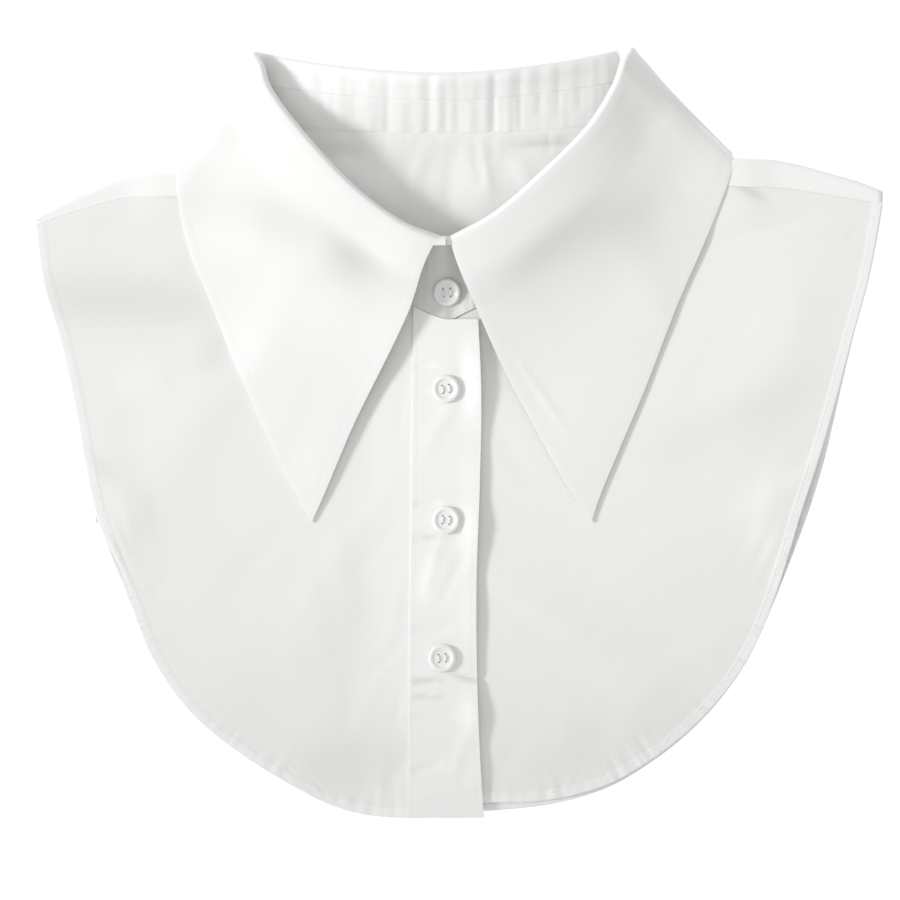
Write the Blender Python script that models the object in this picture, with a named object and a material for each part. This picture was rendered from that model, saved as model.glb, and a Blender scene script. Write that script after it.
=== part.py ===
"""A detachable shirt collar, buttoned and laid flat on its back.

The cloth is built as walls round a middle surface. X runs across the shoulders, Y from
the hem up to the neck and Z up from the table. Lengths below are in millimetres until
make_object turns them into metres.

The collar is a tube that lies on the table and points up the page. A station is one
place along the neck: it names the neck seam, the fold where stand turns into leaf, and
the free edge of the leaf. The stations run from the wearer's right front round the
back to the wearer's left front.
"""

from collections import namedtuple

import bpy
import numpy as np

MM = 0.001

# Cloth walls and the space left between them
PANEL_WALL = 1.0
COLLAR_WALL = 1.0
TAPE_WALL = 0.8
LAYER_GAP = 0.3
SEAM_GAP = 0.6

# Collar: how tightly the fold turns, and how much of the height is the sewn band
FOLD_RADIUS = 1.6
BAND_SHARE_FRONT = 0.96
BAND_SHARE_BACK = 0.62
BAND_SHARE_REACH = 3.0
BAND_ROWS = 6
SAMPLES_PER_STATION = 3

# Band ends lapped at the front: columns of the other end they cover, and a rounded corner
LapColumn = namedtuple("LapColumn", "place height")
BAND_LAP_LIFT = 1.7
BAND_LAP = [
    LapColumn(0.1, 1.0),
    LapColumn(0.6, 1.0),
    LapColumn(1.1, 0.94),
    LapColumn(1.45, 0.78),
    LapColumn(1.7, 0.5),
]

# The lapped ends sag between neck seam and fold, so that they lie deep between the leaves
BAND_SAG = 3.2
BAND_SAG_REACH = 2.0

# Leaf: where it bends down on to the panels, and its rows from the roll out to the edge
BEND_SHARE_FRONT = 0.80
BEND_SHARE_BACK = 0.60
BEND_SOFTNESS = 7.0
LEAF_STAND_ROWS = (0.0, 0.5)
LEAF_ROLL_ROWS = 7
LEAF_FALL_ROWS = (0.35, 0.7, 1.0, 1.5, 2.0, 2.12, 2.26, 2.42, 2.6, 2.8, 3.0)

Station = namedtuple("Station", "seam fold edge bend_height")

RIGHT_STATIONS = [
    #        seam x, y, z          fold x, y, z           edge x, y, z            bend height
    Station((-8.3, 47.5, 4.6), (-7.9, 82.0, 13.0), (-60.3, -37.0, 7.0), 11.2),
    Station((-27.0, 57.0, 4.6), (-23.7, 88.2, 14.4), (-75.0, -11.6, 6.6), 10.8),
    Station((-59.0, 75.7, 4.8), (-44.1, 103.2, 15.6), (-87.8, 15.8, 6.2), 10.4),
    Station((-81.5, 100.7, 5.2), (-66.1, 126.9, 17.0), (-102.3, 50.8, 6.0), 10.4),
    Station((-89.3, 118.0, 5.4), (-78.2, 143.5, 17.6), (-113.6, 80.9, 6.0), 10.0),
    Station((-89.2, 125.6, 5.5), (-82.2, 153.6, 17.6), (-118.0, 107.2, 6.0), 9.4),
    Station((-91.2, 127.7, 4.0), (-85.2, 158.1, 13.2), (-116.2, 111.6, 3.3), 6.0),
    Station((-88.8, 128.5, 2.6), (-81.2, 158.0, 8.8), (-112.4, 111.8, 0.6), 2.2),
    Station((-78.2, 127.9, 2.8), (-72.8, 156.0, 11.6), (-97.0, 110.6, 0.6), 0.7),
    Station((-56.2, 126.5, 3.0), (-52.0, 152.6, 16.6), (-66.6, 111.5, 0.6), 0.6),
    Station((-32.4, 125.6, 3.2), (-29.1, 150.2, 20.4), (-36.6, 112.7, 0.6), 0.6),
]
BACK_STATION = Station((-7.0, 125.2, 3.3), (-5.4, 149.3, 22.0), (-7.0, 113.2, 0.6), 0.6)
LEFT_STATIONS = [
    Station((18.7, 125.6, 3.2), (18.7, 151.0, 20.4), (22.9, 114.0, 0.6), 0.6),
    Station((41.6, 126.9, 3.0), (41.6, 154.2, 16.6), (52.0, 114.8, 0.6), 0.6),
    Station((63.2, 128.9, 2.8), (59.5, 157.9, 11.6), (88.2, 115.8, 0.6), 0.7),
    Station((74.2, 130.0, 2.6), (66.6, 159.6, 8.8), (108.0, 117.3, 0.6), 2.2),
    Station((76.8, 129.1, 4.0), (70.8, 160.3, 13.2), (111.9, 117.1, 3.3), 6.0),
    Station((74.7, 126.8, 5.5), (67.6, 155.4, 17.6), (113.6, 112.6, 6.0), 9.4),
    Station((75.0, 118.8, 5.4), (63.2, 144.6, 17.6), (104.4, 86.0, 6.4), 10.0),
    Station((68.2, 101.5, 5.2), (53.2, 128.4, 17.0), (91.0, 54.9, 6.8), 10.6),
    Station((45.8, 78.2, 4.6), (33.3, 108.4, 15.4), (77.2, 19.1, 7.2), 10.8),
    Station((16.0, 57.6, 3.6), (13.3, 91.4, 13.4), (65.2, -10.0, 7.4), 11.2),
    Station((-3.3, 47.5, 2.9), (-4.2, 82.0, 11.4), (57.0, -37.0, 7.6), 11.2),
]
STATIONS = RIGHT_STATIONS + [BACK_STATION] + LEFT_STATIONS

# How far each leaf's front edge bows out from the straight line between fold and point
RIGHT_LEAF_BOW = -1.5
LEFT_LEAF_BOW = 6.0
BOW_REACH = 2.6

# Top edge of the shoulders, where front and back turn into each other
ShoulderPoint = namedtuple("ShoulderPoint", "x y strip")
RIGHT_SHOULDER = [
    ShoulderPoint(-176.4, 89.8, 3.5),
    ShoulderPoint(-165.0, 95.8, 5.0),
    ShoulderPoint(-154.3, 100.4, 6.5),
    ShoulderPoint(-138.9, 106.2, 8.0),
    ShoulderPoint(-124.0, 107.8, 9.0),
    ShoulderPoint(-115.5, 108.8, 9.4),
    ShoulderPoint(-105.0, 116.0, 9.6),
    ShoulderPoint(-90.4, 126.6, 9.0),
]
LEFT_SHOULDER = [
    ShoulderPoint(76.0, 128.0, 9.0),
    ShoulderPoint(94.0, 120.8, 10.0),
    ShoulderPoint(109.5, 114.2, 10.8),
    ShoulderPoint(126.5, 114.0, 11.4),
    ShoulderPoint(136.0, 112.6, 10.4),
    ShoulderPoint(149.3, 109.0, 9.0),
    ShoulderPoint(162.0, 105.6, 7.6),
    ShoulderPoint(175.6, 100.6, 5.0),
]
SHOULDER_ROUND = 1.2
SHOULDER_COLUMNS = 10
TURN_STEPS = (0.0, 0.45, 1.6)
STRIP_MIDDLE = 0.55

# Armhole and hem in one line, from the shoulder tip down and round to the centre
OutlinePoint = namedtuple("OutlinePoint", "x y")
RIGHT_OUTLINE = [
    OutlinePoint(-176.4, 85.0),
    OutlinePoint(-173.0, 62.0),
    OutlinePoint(-166.8, 41.0),
    OutlinePoint(-160.5, 14.0),
    OutlinePoint(-156.0, -11.0),
    OutlinePoint(-151.5, -32.0),
    OutlinePoint(-144.5, -52.0),
    OutlinePoint(-136.0, -73.0),
    OutlinePoint(-127.5, -94.0),
    OutlinePoint(-112.7, -115.0),
    OutlinePoint(-87.0, -136.0),
    OutlinePoint(-70.5, -146.0),
    OutlinePoint(-50.0, -155.8),
    OutlinePoint(-34.0, -159.2),
    OutlinePoint(-21.6, -159.7),
]
LEFT_OUTLINE = [
    OutlinePoint(175.6, 95.4),
    OutlinePoint(173.9, 85.0),
    OutlinePoint(169.3, 62.0),
    OutlinePoint(163.5, 41.0),
    OutlinePoint(156.3, 14.0),
    OutlinePoint(149.0, -11.0),
    OutlinePoint(142.0, -32.0),
    OutlinePoint(136.0, -52.0),
    OutlinePoint(129.0, -73.0),
    OutlinePoint(119.4, -94.0),
    OutlinePoint(103.6, -115.0),
    OutlinePoint(79.5, -135.6),
    OutlinePoint(62.0, -145.6),
    OutlinePoint(37.4, -152.2),
    OutlinePoint(10.0, -153.4),
    OutlinePoint(-19.0, -154.0),
]
BACK_OUTLINE = [
    OutlinePoint(-176.4, 89.8),
    OutlinePoint(-172.5, 62.0),
    OutlinePoint(-166.0, 41.0),
    OutlinePoint(-159.6, 14.0),
    OutlinePoint(-155.0, -11.0),
    OutlinePoint(-150.5, -32.0),
    OutlinePoint(-143.5, -52.0),
    OutlinePoint(-135.0, -73.0),
    OutlinePoint(-126.5, -94.0),
    OutlinePoint(-111.7, -114.2),
    OutlinePoint(-86.2, -135.2),
    OutlinePoint(-50.0, -153.6),
    OutlinePoint(-15.0, -156.8),
    OutlinePoint(20.0, -156.2),
    OutlinePoint(40.0, -153.6),
    OutlinePoint(63.0, -146.4),
    OutlinePoint(79.5, -136.6),
    OutlinePoint(103.4, -116.0),
    OutlinePoint(119.2, -94.6),
    OutlinePoint(129.0, -73.6),
    OutlinePoint(137.6, -52.0),
    OutlinePoint(145.0, -32.0),
    OutlinePoint(151.4, -11.0),
    OutlinePoint(157.2, 14.0),
    OutlinePoint(163.6, 41.0),
    OutlinePoint(169.0, 62.0),
    OutlinePoint(175.6, 100.6),
]
FRONT_CORNER_Y = -73.0
OUTLINE_POINTS = 400

# Placket on the wearer's right front, and the lap of the left front under it
PLACKET_LEFT = [(-19.4, 47.5), (-19.8, -8.0), (-20.6, -70.0), (-21.6, -159.7)]
PLACKET_RIGHT = [(7.6, 47.5), (8.8, 18.0), (8.2, -22.0), (6.9, -60.0), (6.9, -90.0),
                 (7.8, -123.0), (9.8, -159.7)]
PLACKET_COLUMNS = 4
UNDERLAP_X = -19.0
LAP_STARTS_AT = -35.0
LAP_RAMP = 13.0

# Soft folds of the cloth: a ridge with its middle, heading, half lengths and height
Fold = namedtuple("Fold", "x y heading half_length half_width height")
RIGHT_FRONT_FOLDS = [
    Fold(-140.0, 72.0, 2.0, 48.0, 12.0, 2.6),
    Fold(-118.0, -8.0, 62.0, 46.0, 15.0, 2.0),
    Fold(-84.0, -92.0, 38.0, 40.0, 16.0, 1.8),
    Fold(-50.0, -60.0, 66.0, 48.0, 10.0, 1.4),
    Fold(-44.0, -132.0, 12.0, 22.0, 12.0, 1.2),
]
LEFT_FRONT_FOLDS = [
    Fold(134.0, 82.0, -14.0, 44.0, 11.0, 2.2),
    Fold(128.0, 28.0, 66.0, 46.0, 18.0, 2.4),
    Fold(104.0, -40.0, 20.0, 46.0, 15.0, 1.8),
    Fold(52.0, -88.0, -34.0, 46.0, 13.0, 2.0),
    Fold(88.0, -104.0, 22.0, 32.0, 12.0, 1.4),
]
BACK_FOLDS = [
    Fold(9.0, 111.0, -72.0, 17.0, 2.6, 1.8),
    Fold(-34.0, 106.0, 58.0, 22.0, 6.0, 1.2),
]

# Panels: rows down the cloth, and how they reach the neck seam and clear the leaf
PANEL_ROWS = 16
BACK_FIRST_ROWS = (0.0, 0.004, 0.012)
BACK_NEXT_ROW = 0.08
ROW_CROWDING = 1.3
FRONT_SPARE = 0.1
FRONT_NECK_STATION = 4.0
BACK_NECK_STATION = 7.0
SHOULDER_CORNER_ROOM = 2.0
PLACKET_CORNER_ROOM = 3.0
FRONT_SEAM_EASE = 26.0
BACK_SEAM_EASE = 12.0
LIFT_REACH = 28.0
LIFT_RAMP = 20.0

# Buttons: four holes in a sunk face inside a rim
BUTTON_HEIGHT = 2.4
BUTTON_HOLE = 1.3
BUTTON_HOLE_SPREAD = 2.6
BUTTON_SIDES = 24
HOLE_SIDES = 8
ProfilePoint = namedtuple("ProfilePoint", "radius height")
BUTTON_PROFILE = [
    ProfilePoint(4.6, 0.0),
    ProfilePoint(5.75, 0.84),
    ProfilePoint(5.75, 1.68),
    ProfilePoint(5.25, 2.4),
    ProfilePoint(4.55, 2.4),
    ProfilePoint(3.75, 1.7),
]
PLACKET_BUTTONS = [(-5.8, 18.7), (-5.8, -35.8), (-7.4, -93.2)]
BAND_BUTTON = (-5.4, 59.0, 0.1)

# Elastic tapes that join front and back at the sides
TAPE_WIDTH = 7.0
TAPE_LENGTH = 13.0
TAPE_SHOWS = 1.2
TAPE_ROOM = 12.0
TAPE_LIFT_REACH = 15.0
Tape = namedtuple("Tape", "name x y outward")
SIDE_TAPES = [
    Tape("side_tape_right", -151.2, -33.5, -1.0),
    Tape("side_tape_left", 141.6, -33.5, 1.0),
]


def smoothstep(values):
    """Ease from 0 to 1 with a flat start and a flat end."""
    held = np.clip(values, 0.0, 1.0)
    return held * held * (3.0 - 2.0 * held)


def curve_through(knots, values, places):
    """Hermite pieces through the values, each slope the weighted mean of its neighbours'."""
    knots = np.asarray(knots, float)
    values = np.asarray(values, float).reshape(len(knots), -1)
    step = np.diff(knots)
    rise = np.diff(values, axis=0) / step[:, None]
    slope = np.empty_like(values)
    slope[0] = rise[0]
    slope[-1] = rise[-1]
    before = step[:-1, None]
    after = step[1:, None]
    slope[1:-1] = (rise[:-1] * after + rise[1:] * before) / (before + after)
    piece = np.clip(np.searchsorted(knots, places, side="right") - 1, 0, len(step) - 1)
    width = step[piece][:, None]
    part = ((places - knots[piece])[:, None]) / width
    start = (1.0 + 2.0 * part) * (1.0 - part) ** 2
    leave = part * (1.0 - part) ** 2 * width
    end = part ** 2 * (3.0 - 2.0 * part)
    arrive = part ** 2 * (part - 1.0) * width
    return (start * values[piece] + leave * slope[piece]
            + end * values[piece + 1] + arrive * slope[piece + 1])


def chord_knots(points, power=1.0):
    """Running length along the points, each chord raised to a power."""
    chords = np.linalg.norm(np.diff(points, axis=0), axis=1) ** power
    return np.concatenate([[0.0], np.cumsum(chords)])


def along(points, shares):
    """Points at shares of a line's whole length."""
    knots = chord_knots(points)
    places = np.asarray(shares) * knots[-1]
    return np.stack([np.interp(places, knots, points[:, axis])
                     for axis in range(points.shape[1])], axis=1)


def smooth_line(points):
    """A smooth line through hand-set points, as many close points."""
    points = np.array(points, float)
    knots = chord_knots(points)
    return curve_through(knots, points, np.linspace(0.0, knots[-1], OUTLINE_POINTS))


def unit(vectors):
    """Vectors cut to length one."""
    return vectors / np.linalg.norm(vectors, axis=-1, keepdims=True)


def evened(values, rounds=2):
    """Each row mixed with its neighbours, so that a direction turns without a jolt."""
    for _ in range(rounds):
        padded = np.concatenate([values[:1], values, values[-1:]])
        values = (padded[:-2] + 2.0 * padded[1:-1] + padded[2:]) / 4.0
    return values


def clear_scene():
    """Remove every object so that the script can run again."""
    for item in list(bpy.data.objects):
        bpy.data.objects.remove(item, do_unlink=True)


def make_material(name, color, roughness):
    """A plain material for one kind of piece."""
    material = bpy.data.materials.new(name)
    material.use_nodes = True
    shader = material.node_tree.nodes["Principled BSDF"]
    shader.inputs["Base Color"].default_value = (*color, 1.0)
    shader.inputs["Roughness"].default_value = roughness
    shader.inputs["Metallic"].default_value = 0.0
    return material


def make_object(name, points, faces, material, smooth_angle=40.0):
    """One object from points in millimetres."""
    mesh = bpy.data.meshes.new(name)
    mesh.from_pydata((np.asarray(points) * MM).tolist(), [], faces)
    mesh.validate()
    mesh.materials.append(material)
    mesh.shade_smooth()
    mesh.set_sharp_from_angle(angle=np.radians(smooth_angle))
    item = bpy.data.objects.new(name, mesh)
    bpy.context.collection.objects.link(item)
    return item


def sheet_normals(points, quads):
    """Normal at every point: the sum of the crossed diagonals of the faces round it."""
    corners = points[quads]
    facing = np.cross(corners[:, 2] - corners[:, 0], corners[:, 3] - corners[:, 1])
    normals = np.zeros_like(points)
    for corner in range(4):
        np.add.at(normals, quads[:, corner], facing)
    return unit(normals)


def grid_quads(present):
    """Faces between neighbours of a grid, where all four points are present."""
    columns, rows = present.shape
    number = np.arange(columns * rows).reshape(columns, rows)
    quads = np.stack([number[:-1, :-1], number[1:, :-1], number[1:, 1:], number[:-1, 1:]], axis=-1)
    whole = present[:-1, :-1] & present[1:, :-1] & present[1:, 1:] & present[:-1, 1:]
    return quads[whole]


def thick_sheet(name, grid, wall, material, present=None):
    """A closed wall round a grid: half its thickness to each side and a rim round the edge."""
    if present is None:
        present = np.ones(grid.shape[:2], bool)
    quads = grid_quads(present)
    used = np.unique(quads)
    renumber = np.full(grid.shape[0] * grid.shape[1], -1)
    renumber[used] = np.arange(len(used))
    points = grid.reshape(-1, 3)[used]
    quads = renumber[quads]
    half = sheet_normals(points, quads) * wall / 2.0
    count = len(points)
    edges = {}
    for quad in quads.tolist():
        for start, end in zip(quad, quad[1:] + quad[:1]):
            edges[(start, end)] = True
    rim = [(end, start, start + count, end + count)
           for start, end in edges if (end, start) not in edges]
    faces = quads.tolist() + (quads[:, ::-1] + count).tolist() + rim
    make_object(name, np.vstack([points + half, points - half]), faces, material)


def collar_columns():
    """The stations drawn out into close columns: seam, fold, edge and bend height."""
    table = np.array([[*row.seam, *row.fold, *row.edge, row.bend_height] for row in STATIONS])
    knots = chord_knots(table[:, :9], power=0.5)
    index = np.arange((len(STATIONS) - 1) * SAMPLES_PER_STATION + 1) / SAMPLES_PER_STATION
    places = np.interp(index, np.arange(len(STATIONS)), knots)
    drawn = curve_through(knots, table, places)
    return index, drawn[:, 0:3], drawn[:, 3:6], drawn[:, 6:9], drawn[:, 9]


def fold_frames(seam, fold):
    """Centre line of the roll, the way up square to it, and the outward normal, by column."""
    run = unit(np.gradient(fold, axis=0))
    lean = unit(fold - seam)
    up = unit(lean - run * (lean * run).sum(axis=1, keepdims=True))
    outward = unit(evened(np.cross(up, run)))
    up = unit(evened(up))
    return fold - up * (FOLD_RADIUS + COLLAR_WALL / 2.0), up, outward


def band_point(seam, inner_top, share):
    """A point on the straight stand, at a share of the way from the seam to the roll."""
    return seam + (inner_top - seam) * np.reshape(share, (-1, 1))


def between_back_and_front(outward, back, front):
    """A value that goes from the back's to the front's as the stand turns to face up."""
    return back + (front - back) * smoothstep((1.0 + outward[:, 2]) / 2.0)


def band_share(index):
    """How much of the stand is band: more at the front ends than round the sides and back."""
    from_end = np.minimum(index, index[-1] - index)
    round_neck = smoothstep(from_end / BAND_SHARE_REACH)
    return BAND_SHARE_FRONT + (BAND_SHARE_BACK - BAND_SHARE_FRONT) * round_neck


def lap_end(columns):
    """An end of the band that follows the other end's columns, its corner rounded."""
    places, height = np.array(BAND_LAP).T
    number = np.arange(len(columns))
    foot = np.stack([np.interp(places, number, columns[:, 0, axis]) for axis in range(3)], axis=1)
    head = np.stack([np.interp(places, number, columns[:, 1, axis]) for axis in range(3)], axis=1)
    return np.stack([foot, foot + (head - foot) * height[:, None]], axis=1)


def band_sag(index, shares):
    """How far the ends of the band sag, by column and row: most halfway up, nothing further round."""
    places, cut = np.array(BAND_LAP).T
    lapped = places / SAMPLES_PER_STATION
    from_end = np.concatenate([lapped[::-1], np.minimum(index, index[-1] - index), lapped])
    height = np.concatenate([cut[::-1], np.ones(len(index)), cut])
    share = height[:, None] * shares
    near_front = 1.0 - smoothstep(from_end / BAND_SAG_REACH)
    return BAND_SAG * near_front[:, None] * 4.0 * share * (1.0 - share)


def build_band(index, seam, fold, material):
    """The collar band: the lower part of the stand, its two ends lapped at the front."""
    centre, _, outward = fold_frames(seam, fold)
    inner_top = centre - outward * FOLD_RADIUS
    length = np.linalg.norm(inner_top - seam, axis=1)
    bottom = band_point(seam, inner_top, SEAM_GAP / length)
    top = band_point(seam, inner_top, band_share(index))
    body = np.stack([bottom, top], axis=1)
    lift = (outward * BAND_LAP_LIFT)[:, None]
    under = lap_end(body - lift)
    over = lap_end((body + lift)[::-1])[::-1]
    ends = np.concatenate([over, body, under])
    shares = np.linspace(0.0, 1.0, BAND_ROWS)
    grid = ends[:, :1] + (ends[:, 1:] - ends[:, :1]) * shares[None, :, None]
    grid[..., 2] -= band_sag(index, shares)
    thick_sheet("collar_band", grid, COLLAR_WALL, material)
    return grid[:len(over) + 1]


def soft_corner(start, corner, end, softness, shares):
    """A line from start to end by way of a corner rounded as a parabola."""
    first = np.linalg.norm(corner - start, axis=1)[:, None]
    second = np.linalg.norm(end - corner, axis=1)[:, None]
    reach = np.minimum(softness, np.minimum(first, second) * 0.45)
    enter = corner + (start - corner) * reach / first
    leave = corner + (end - corner) * reach / second
    rows = []
    for share in shares:
        if share < 1.0:
            rows.append(start + (enter - start) * share)
        elif share <= 2.0:
            part = share - 1.0
            rows.append(enter * (1 - part) ** 2 + corner * 2 * part * (1 - part) + leave * part ** 2)
        else:
            rows.append(leave + (end - leave) * (share - 2.0))
    return np.stack(rows, axis=1)


def build_leaf(index, seam, fold, edge, bend_height, material):
    """The collar leaf: up from the band, over the roll, and out to the free edge."""
    centre, up, outward = fold_frames(seam, fold)
    inner_top = centre - outward * FOLD_RADIUS
    outer_top = centre + outward * FOLD_RADIUS
    length = np.linalg.norm(inner_top - seam, axis=1)
    start = band_share(index) + 1.3 * LAYER_GAP / length
    rising = [band_point(seam, inner_top, start + (1.0 - start) * part)
              for part in LEAF_STAND_ROWS]
    turns = np.linspace(0.0, np.pi, LEAF_ROLL_ROWS)
    roll = [centre + FOLD_RADIUS * (up * np.sin(turn) - outward * np.cos(turn)) for turn in turns]
    stand_plan = np.linalg.norm((fold - seam)[:, :2], axis=1)
    leaf_plan = np.linalg.norm((edge - centre)[:, :2], axis=1)
    bend_share = between_back_and_front(outward, BEND_SHARE_BACK, BEND_SHARE_FRONT)
    bend = centre + (edge - centre) * (bend_share * stand_plan / leaf_plan)[:, None]
    bend[:, 2] = bend_height
    fall = soft_corner(outer_top, bend, edge, BEND_SOFTNESS, LEAF_FALL_ROWS)
    bow = (RIGHT_LEAF_BOW * (1.0 - smoothstep(index / BOW_REACH))
           + LEFT_LEAF_BOW * (1.0 - smoothstep((index[-1] - index) / BOW_REACH)))
    reached = np.linalg.norm((fall - outer_top[:, None])[..., :2], axis=-1)
    share_out = reached / reached[:, -1:]
    fall[..., 0] -= bow[:, None] * np.sin(np.pi * share_out)
    grid = np.concatenate([np.stack(rising + roll, axis=1), fall], axis=1)
    grid[..., 2] = np.maximum(grid[..., 2], COLLAR_WALL / 2.0)
    thick_sheet("collar_leaf", grid, COLLAR_WALL, material)


def fold_heights(plan, folds):
    """Height of the soft folds over a set of plan points."""
    height = np.zeros(plan.shape[:-1])
    for fold in folds:
        heading = np.radians(fold.heading)
        offset = plan - np.array([fold.x, fold.y])
        ahead = offset[..., 0] * np.cos(heading) + offset[..., 1] * np.sin(heading)
        aside = offset[..., 1] * np.cos(heading) - offset[..., 0] * np.sin(heading)
        height += fold.height * np.exp(-(aside / fold.half_width) ** 2
                                       - (ahead / fold.half_length) ** 4)
    return height


def back_height(plan):
    """Middle of the back panel: on the table, and lifted where the leaf lies under it."""
    under = [row.edge for row in STATIONS if row.edge[2] < 1.0]
    edge_x = np.array([point[0] for point in under])
    edge_y = np.array([point[1] for point in under])
    lift = COLLAR_WALL + LAYER_GAP
    low_edge = np.interp(plan[..., 0], edge_x, edge_y) - LIFT_REACH
    inward = smoothstep((plan[..., 1] - low_edge) / LIFT_RAMP)
    right_side = smoothstep((plan[..., 0] - (edge_x[0] - LIFT_REACH)) / LIFT_RAMP)
    left_side = smoothstep(((edge_x[-1] + LIFT_REACH) - plan[..., 0]) / LIFT_RAMP)
    return PANEL_WALL / 2.0 + lift * inward * right_side * left_side


def tape_lift(plan):
    """Extra room between front and back round each side tape."""
    lift = np.zeros(plan.shape[:-1])
    for tape in SIDE_TAPES:
        distance = np.linalg.norm(plan - np.array([tape.x, tape.y]), axis=-1)
        away = smoothstep((distance - TAPE_ROOM) / TAPE_LIFT_REACH)
        lift += (TAPE_WALL + LAYER_GAP) * (1.0 - away)
    return lift


def front_height(plan, folds, over_lap):
    """Middle of a front panel: a layer above the back, with its folds and the lap."""
    height = back_height(plan) + PANEL_WALL + LAYER_GAP + FRONT_SPARE
    height += fold_heights(plan, folds) + tape_lift(plan)
    if over_lap:
        lap = smoothstep((plan[..., 0] - LAP_STARTS_AT) / LAP_RAMP)
        height += lap * (PANEL_WALL + LAYER_GAP + fold_heights(plan, LEFT_FRONT_FOLDS))
    return height


def ruled_patch(top, bottom, left, right, shares_down):
    """A plan grid blended between four edge lines that share their corners."""
    knots = chord_knots(top)
    across = (knots / knots[-1])[:, None, None]
    down = np.asarray(shares_down)[None, :, None]
    foot = along(bottom, across[:, 0, 0])[:, None]
    left_side = along(left, shares_down)[None]
    right_side = along(right, shares_down)[None]
    corners = ((1 - across) * (1 - down) * top[0] + across * (1 - down) * top[-1]
               + (1 - across) * down * bottom[0] + across * down * bottom[-1])
    return ((1 - down) * top[:, None] + down * foot
            + (1 - across) * left_side + across * right_side - corners)


def split_outline(outline, corner_y):
    """Part a smooth outline at a height into its armhole and its hem."""
    line = smooth_line(outline)
    corner = int(np.argmin(np.abs(line[:len(line) // 2, 1] - corner_y)))
    return line[:corner + 1], line[corner:]


def shoulder_arrays(table):
    """Shoulder edge points, evenly drawn, and the width of the strip that shows in front."""
    rows = np.array([tuple(row) for row in table])
    knots = chord_knots(rows[:, :2])
    drawn = curve_through(knots, rows, np.linspace(0.0, knots[-1], SHOULDER_COLUMNS))
    return drawn[:, :2], drawn[:, 2]


def ease_to_seam(grid, seam_heights, reach):
    """Bend a panel's first rows up or down to the height of the seam that holds them."""
    away = np.linalg.norm(grid[..., :2] - grid[:, :1, :2], axis=-1)
    change = (seam_heights - grid[:, 0, 2])[:, None]
    grid[..., 2] += change * (1.0 - smoothstep(away / reach))


def shoulder_height(points):
    """Height of the shoulder's turned edge: half its round above the back."""
    return back_height(points) + SHOULDER_ROUND


def turn_rise(step):
    """Height of the turned edge above or below its middle, a step in from the edge."""
    depth = np.clip(SHOULDER_ROUND - step, 0.0, None)
    return np.sqrt(SHOULDER_ROUND ** 2 - depth ** 2)


def build_back(index, seam, material):
    """Back panel, with the strips that turn over the shoulders to the front seams."""
    neck = seam[np.minimum(index, index[-1] - index) >= BACK_NECK_STATION]
    neck_plan = neck[:, :2] - np.array([0.0, SEAM_GAP])
    right_edge, right_strip = shoulder_arrays(RIGHT_SHOULDER)
    left_edge, left_strip = shoulder_arrays(LEFT_SHOULDER)
    top = np.vstack([right_edge, neck_plan, left_edge])
    count = len(right_edge)
    outline = smooth_line(BACK_OUTLINE)
    half = OUTLINE_POINTS // 2
    right_corner = int(np.argmin(np.abs(outline[:half, 1] - FRONT_CORNER_Y)))
    left_corner = half + int(np.argmin(np.abs(outline[half:, 1] - FRONT_CORNER_Y)))
    later = np.linspace(BACK_NEXT_ROW, 1.0, PANEL_ROWS) ** ROW_CROWDING
    plan = ruled_patch(top, outline[right_corner:left_corner + 1], outline[:right_corner + 1],
                       outline[:left_corner - 1:-1], np.concatenate([BACK_FIRST_ROWS, later]))
    for row, step in enumerate(TURN_STEPS):
        plan[:, row] = top - np.array([0.0, step])
    height = back_height(plan) + fold_heights(plan, BACK_FOLDS)
    on_shoulder = np.ones(len(top), bool)
    on_shoulder[count:-count] = False
    middle = shoulder_height(top)
    for row, step in enumerate(TURN_STEPS):
        height[on_shoulder, row] = middle[on_shoulder] - turn_rise(step)
    main = np.concatenate([plan, height[..., None]], axis=2)
    ease_to_seam(main[count:-count], neck[:, 2], BACK_SEAM_EASE)

    strip = np.zeros(len(top))
    strip[:count] = right_strip
    strip[-count:] = left_strip
    turn = [np.full(len(top), step) for step in TURN_STEPS[:0:-1]]
    over = [np.column_stack([top[:, 0], top[:, 1] - step, middle + turn_rise(step)])
            for step in [strip, strip * STRIP_MIDDLE] + turn]
    grid = np.concatenate([np.stack(over, axis=1), main], axis=1)
    present = np.ones(grid.shape[:2], bool)
    present[count:-count, :len(over)] = False
    thick_sheet("back_panel", grid, PANEL_WALL, material, present)


def front_shoulder(table):
    """Top line of a front panel under its shoulder strip, and its height."""
    edge, strip = shoulder_arrays(table)
    line = edge - np.column_stack([np.zeros(len(edge)), strip + LAYER_GAP])
    return line, shoulder_height(edge) + SHOULDER_ROUND


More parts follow.
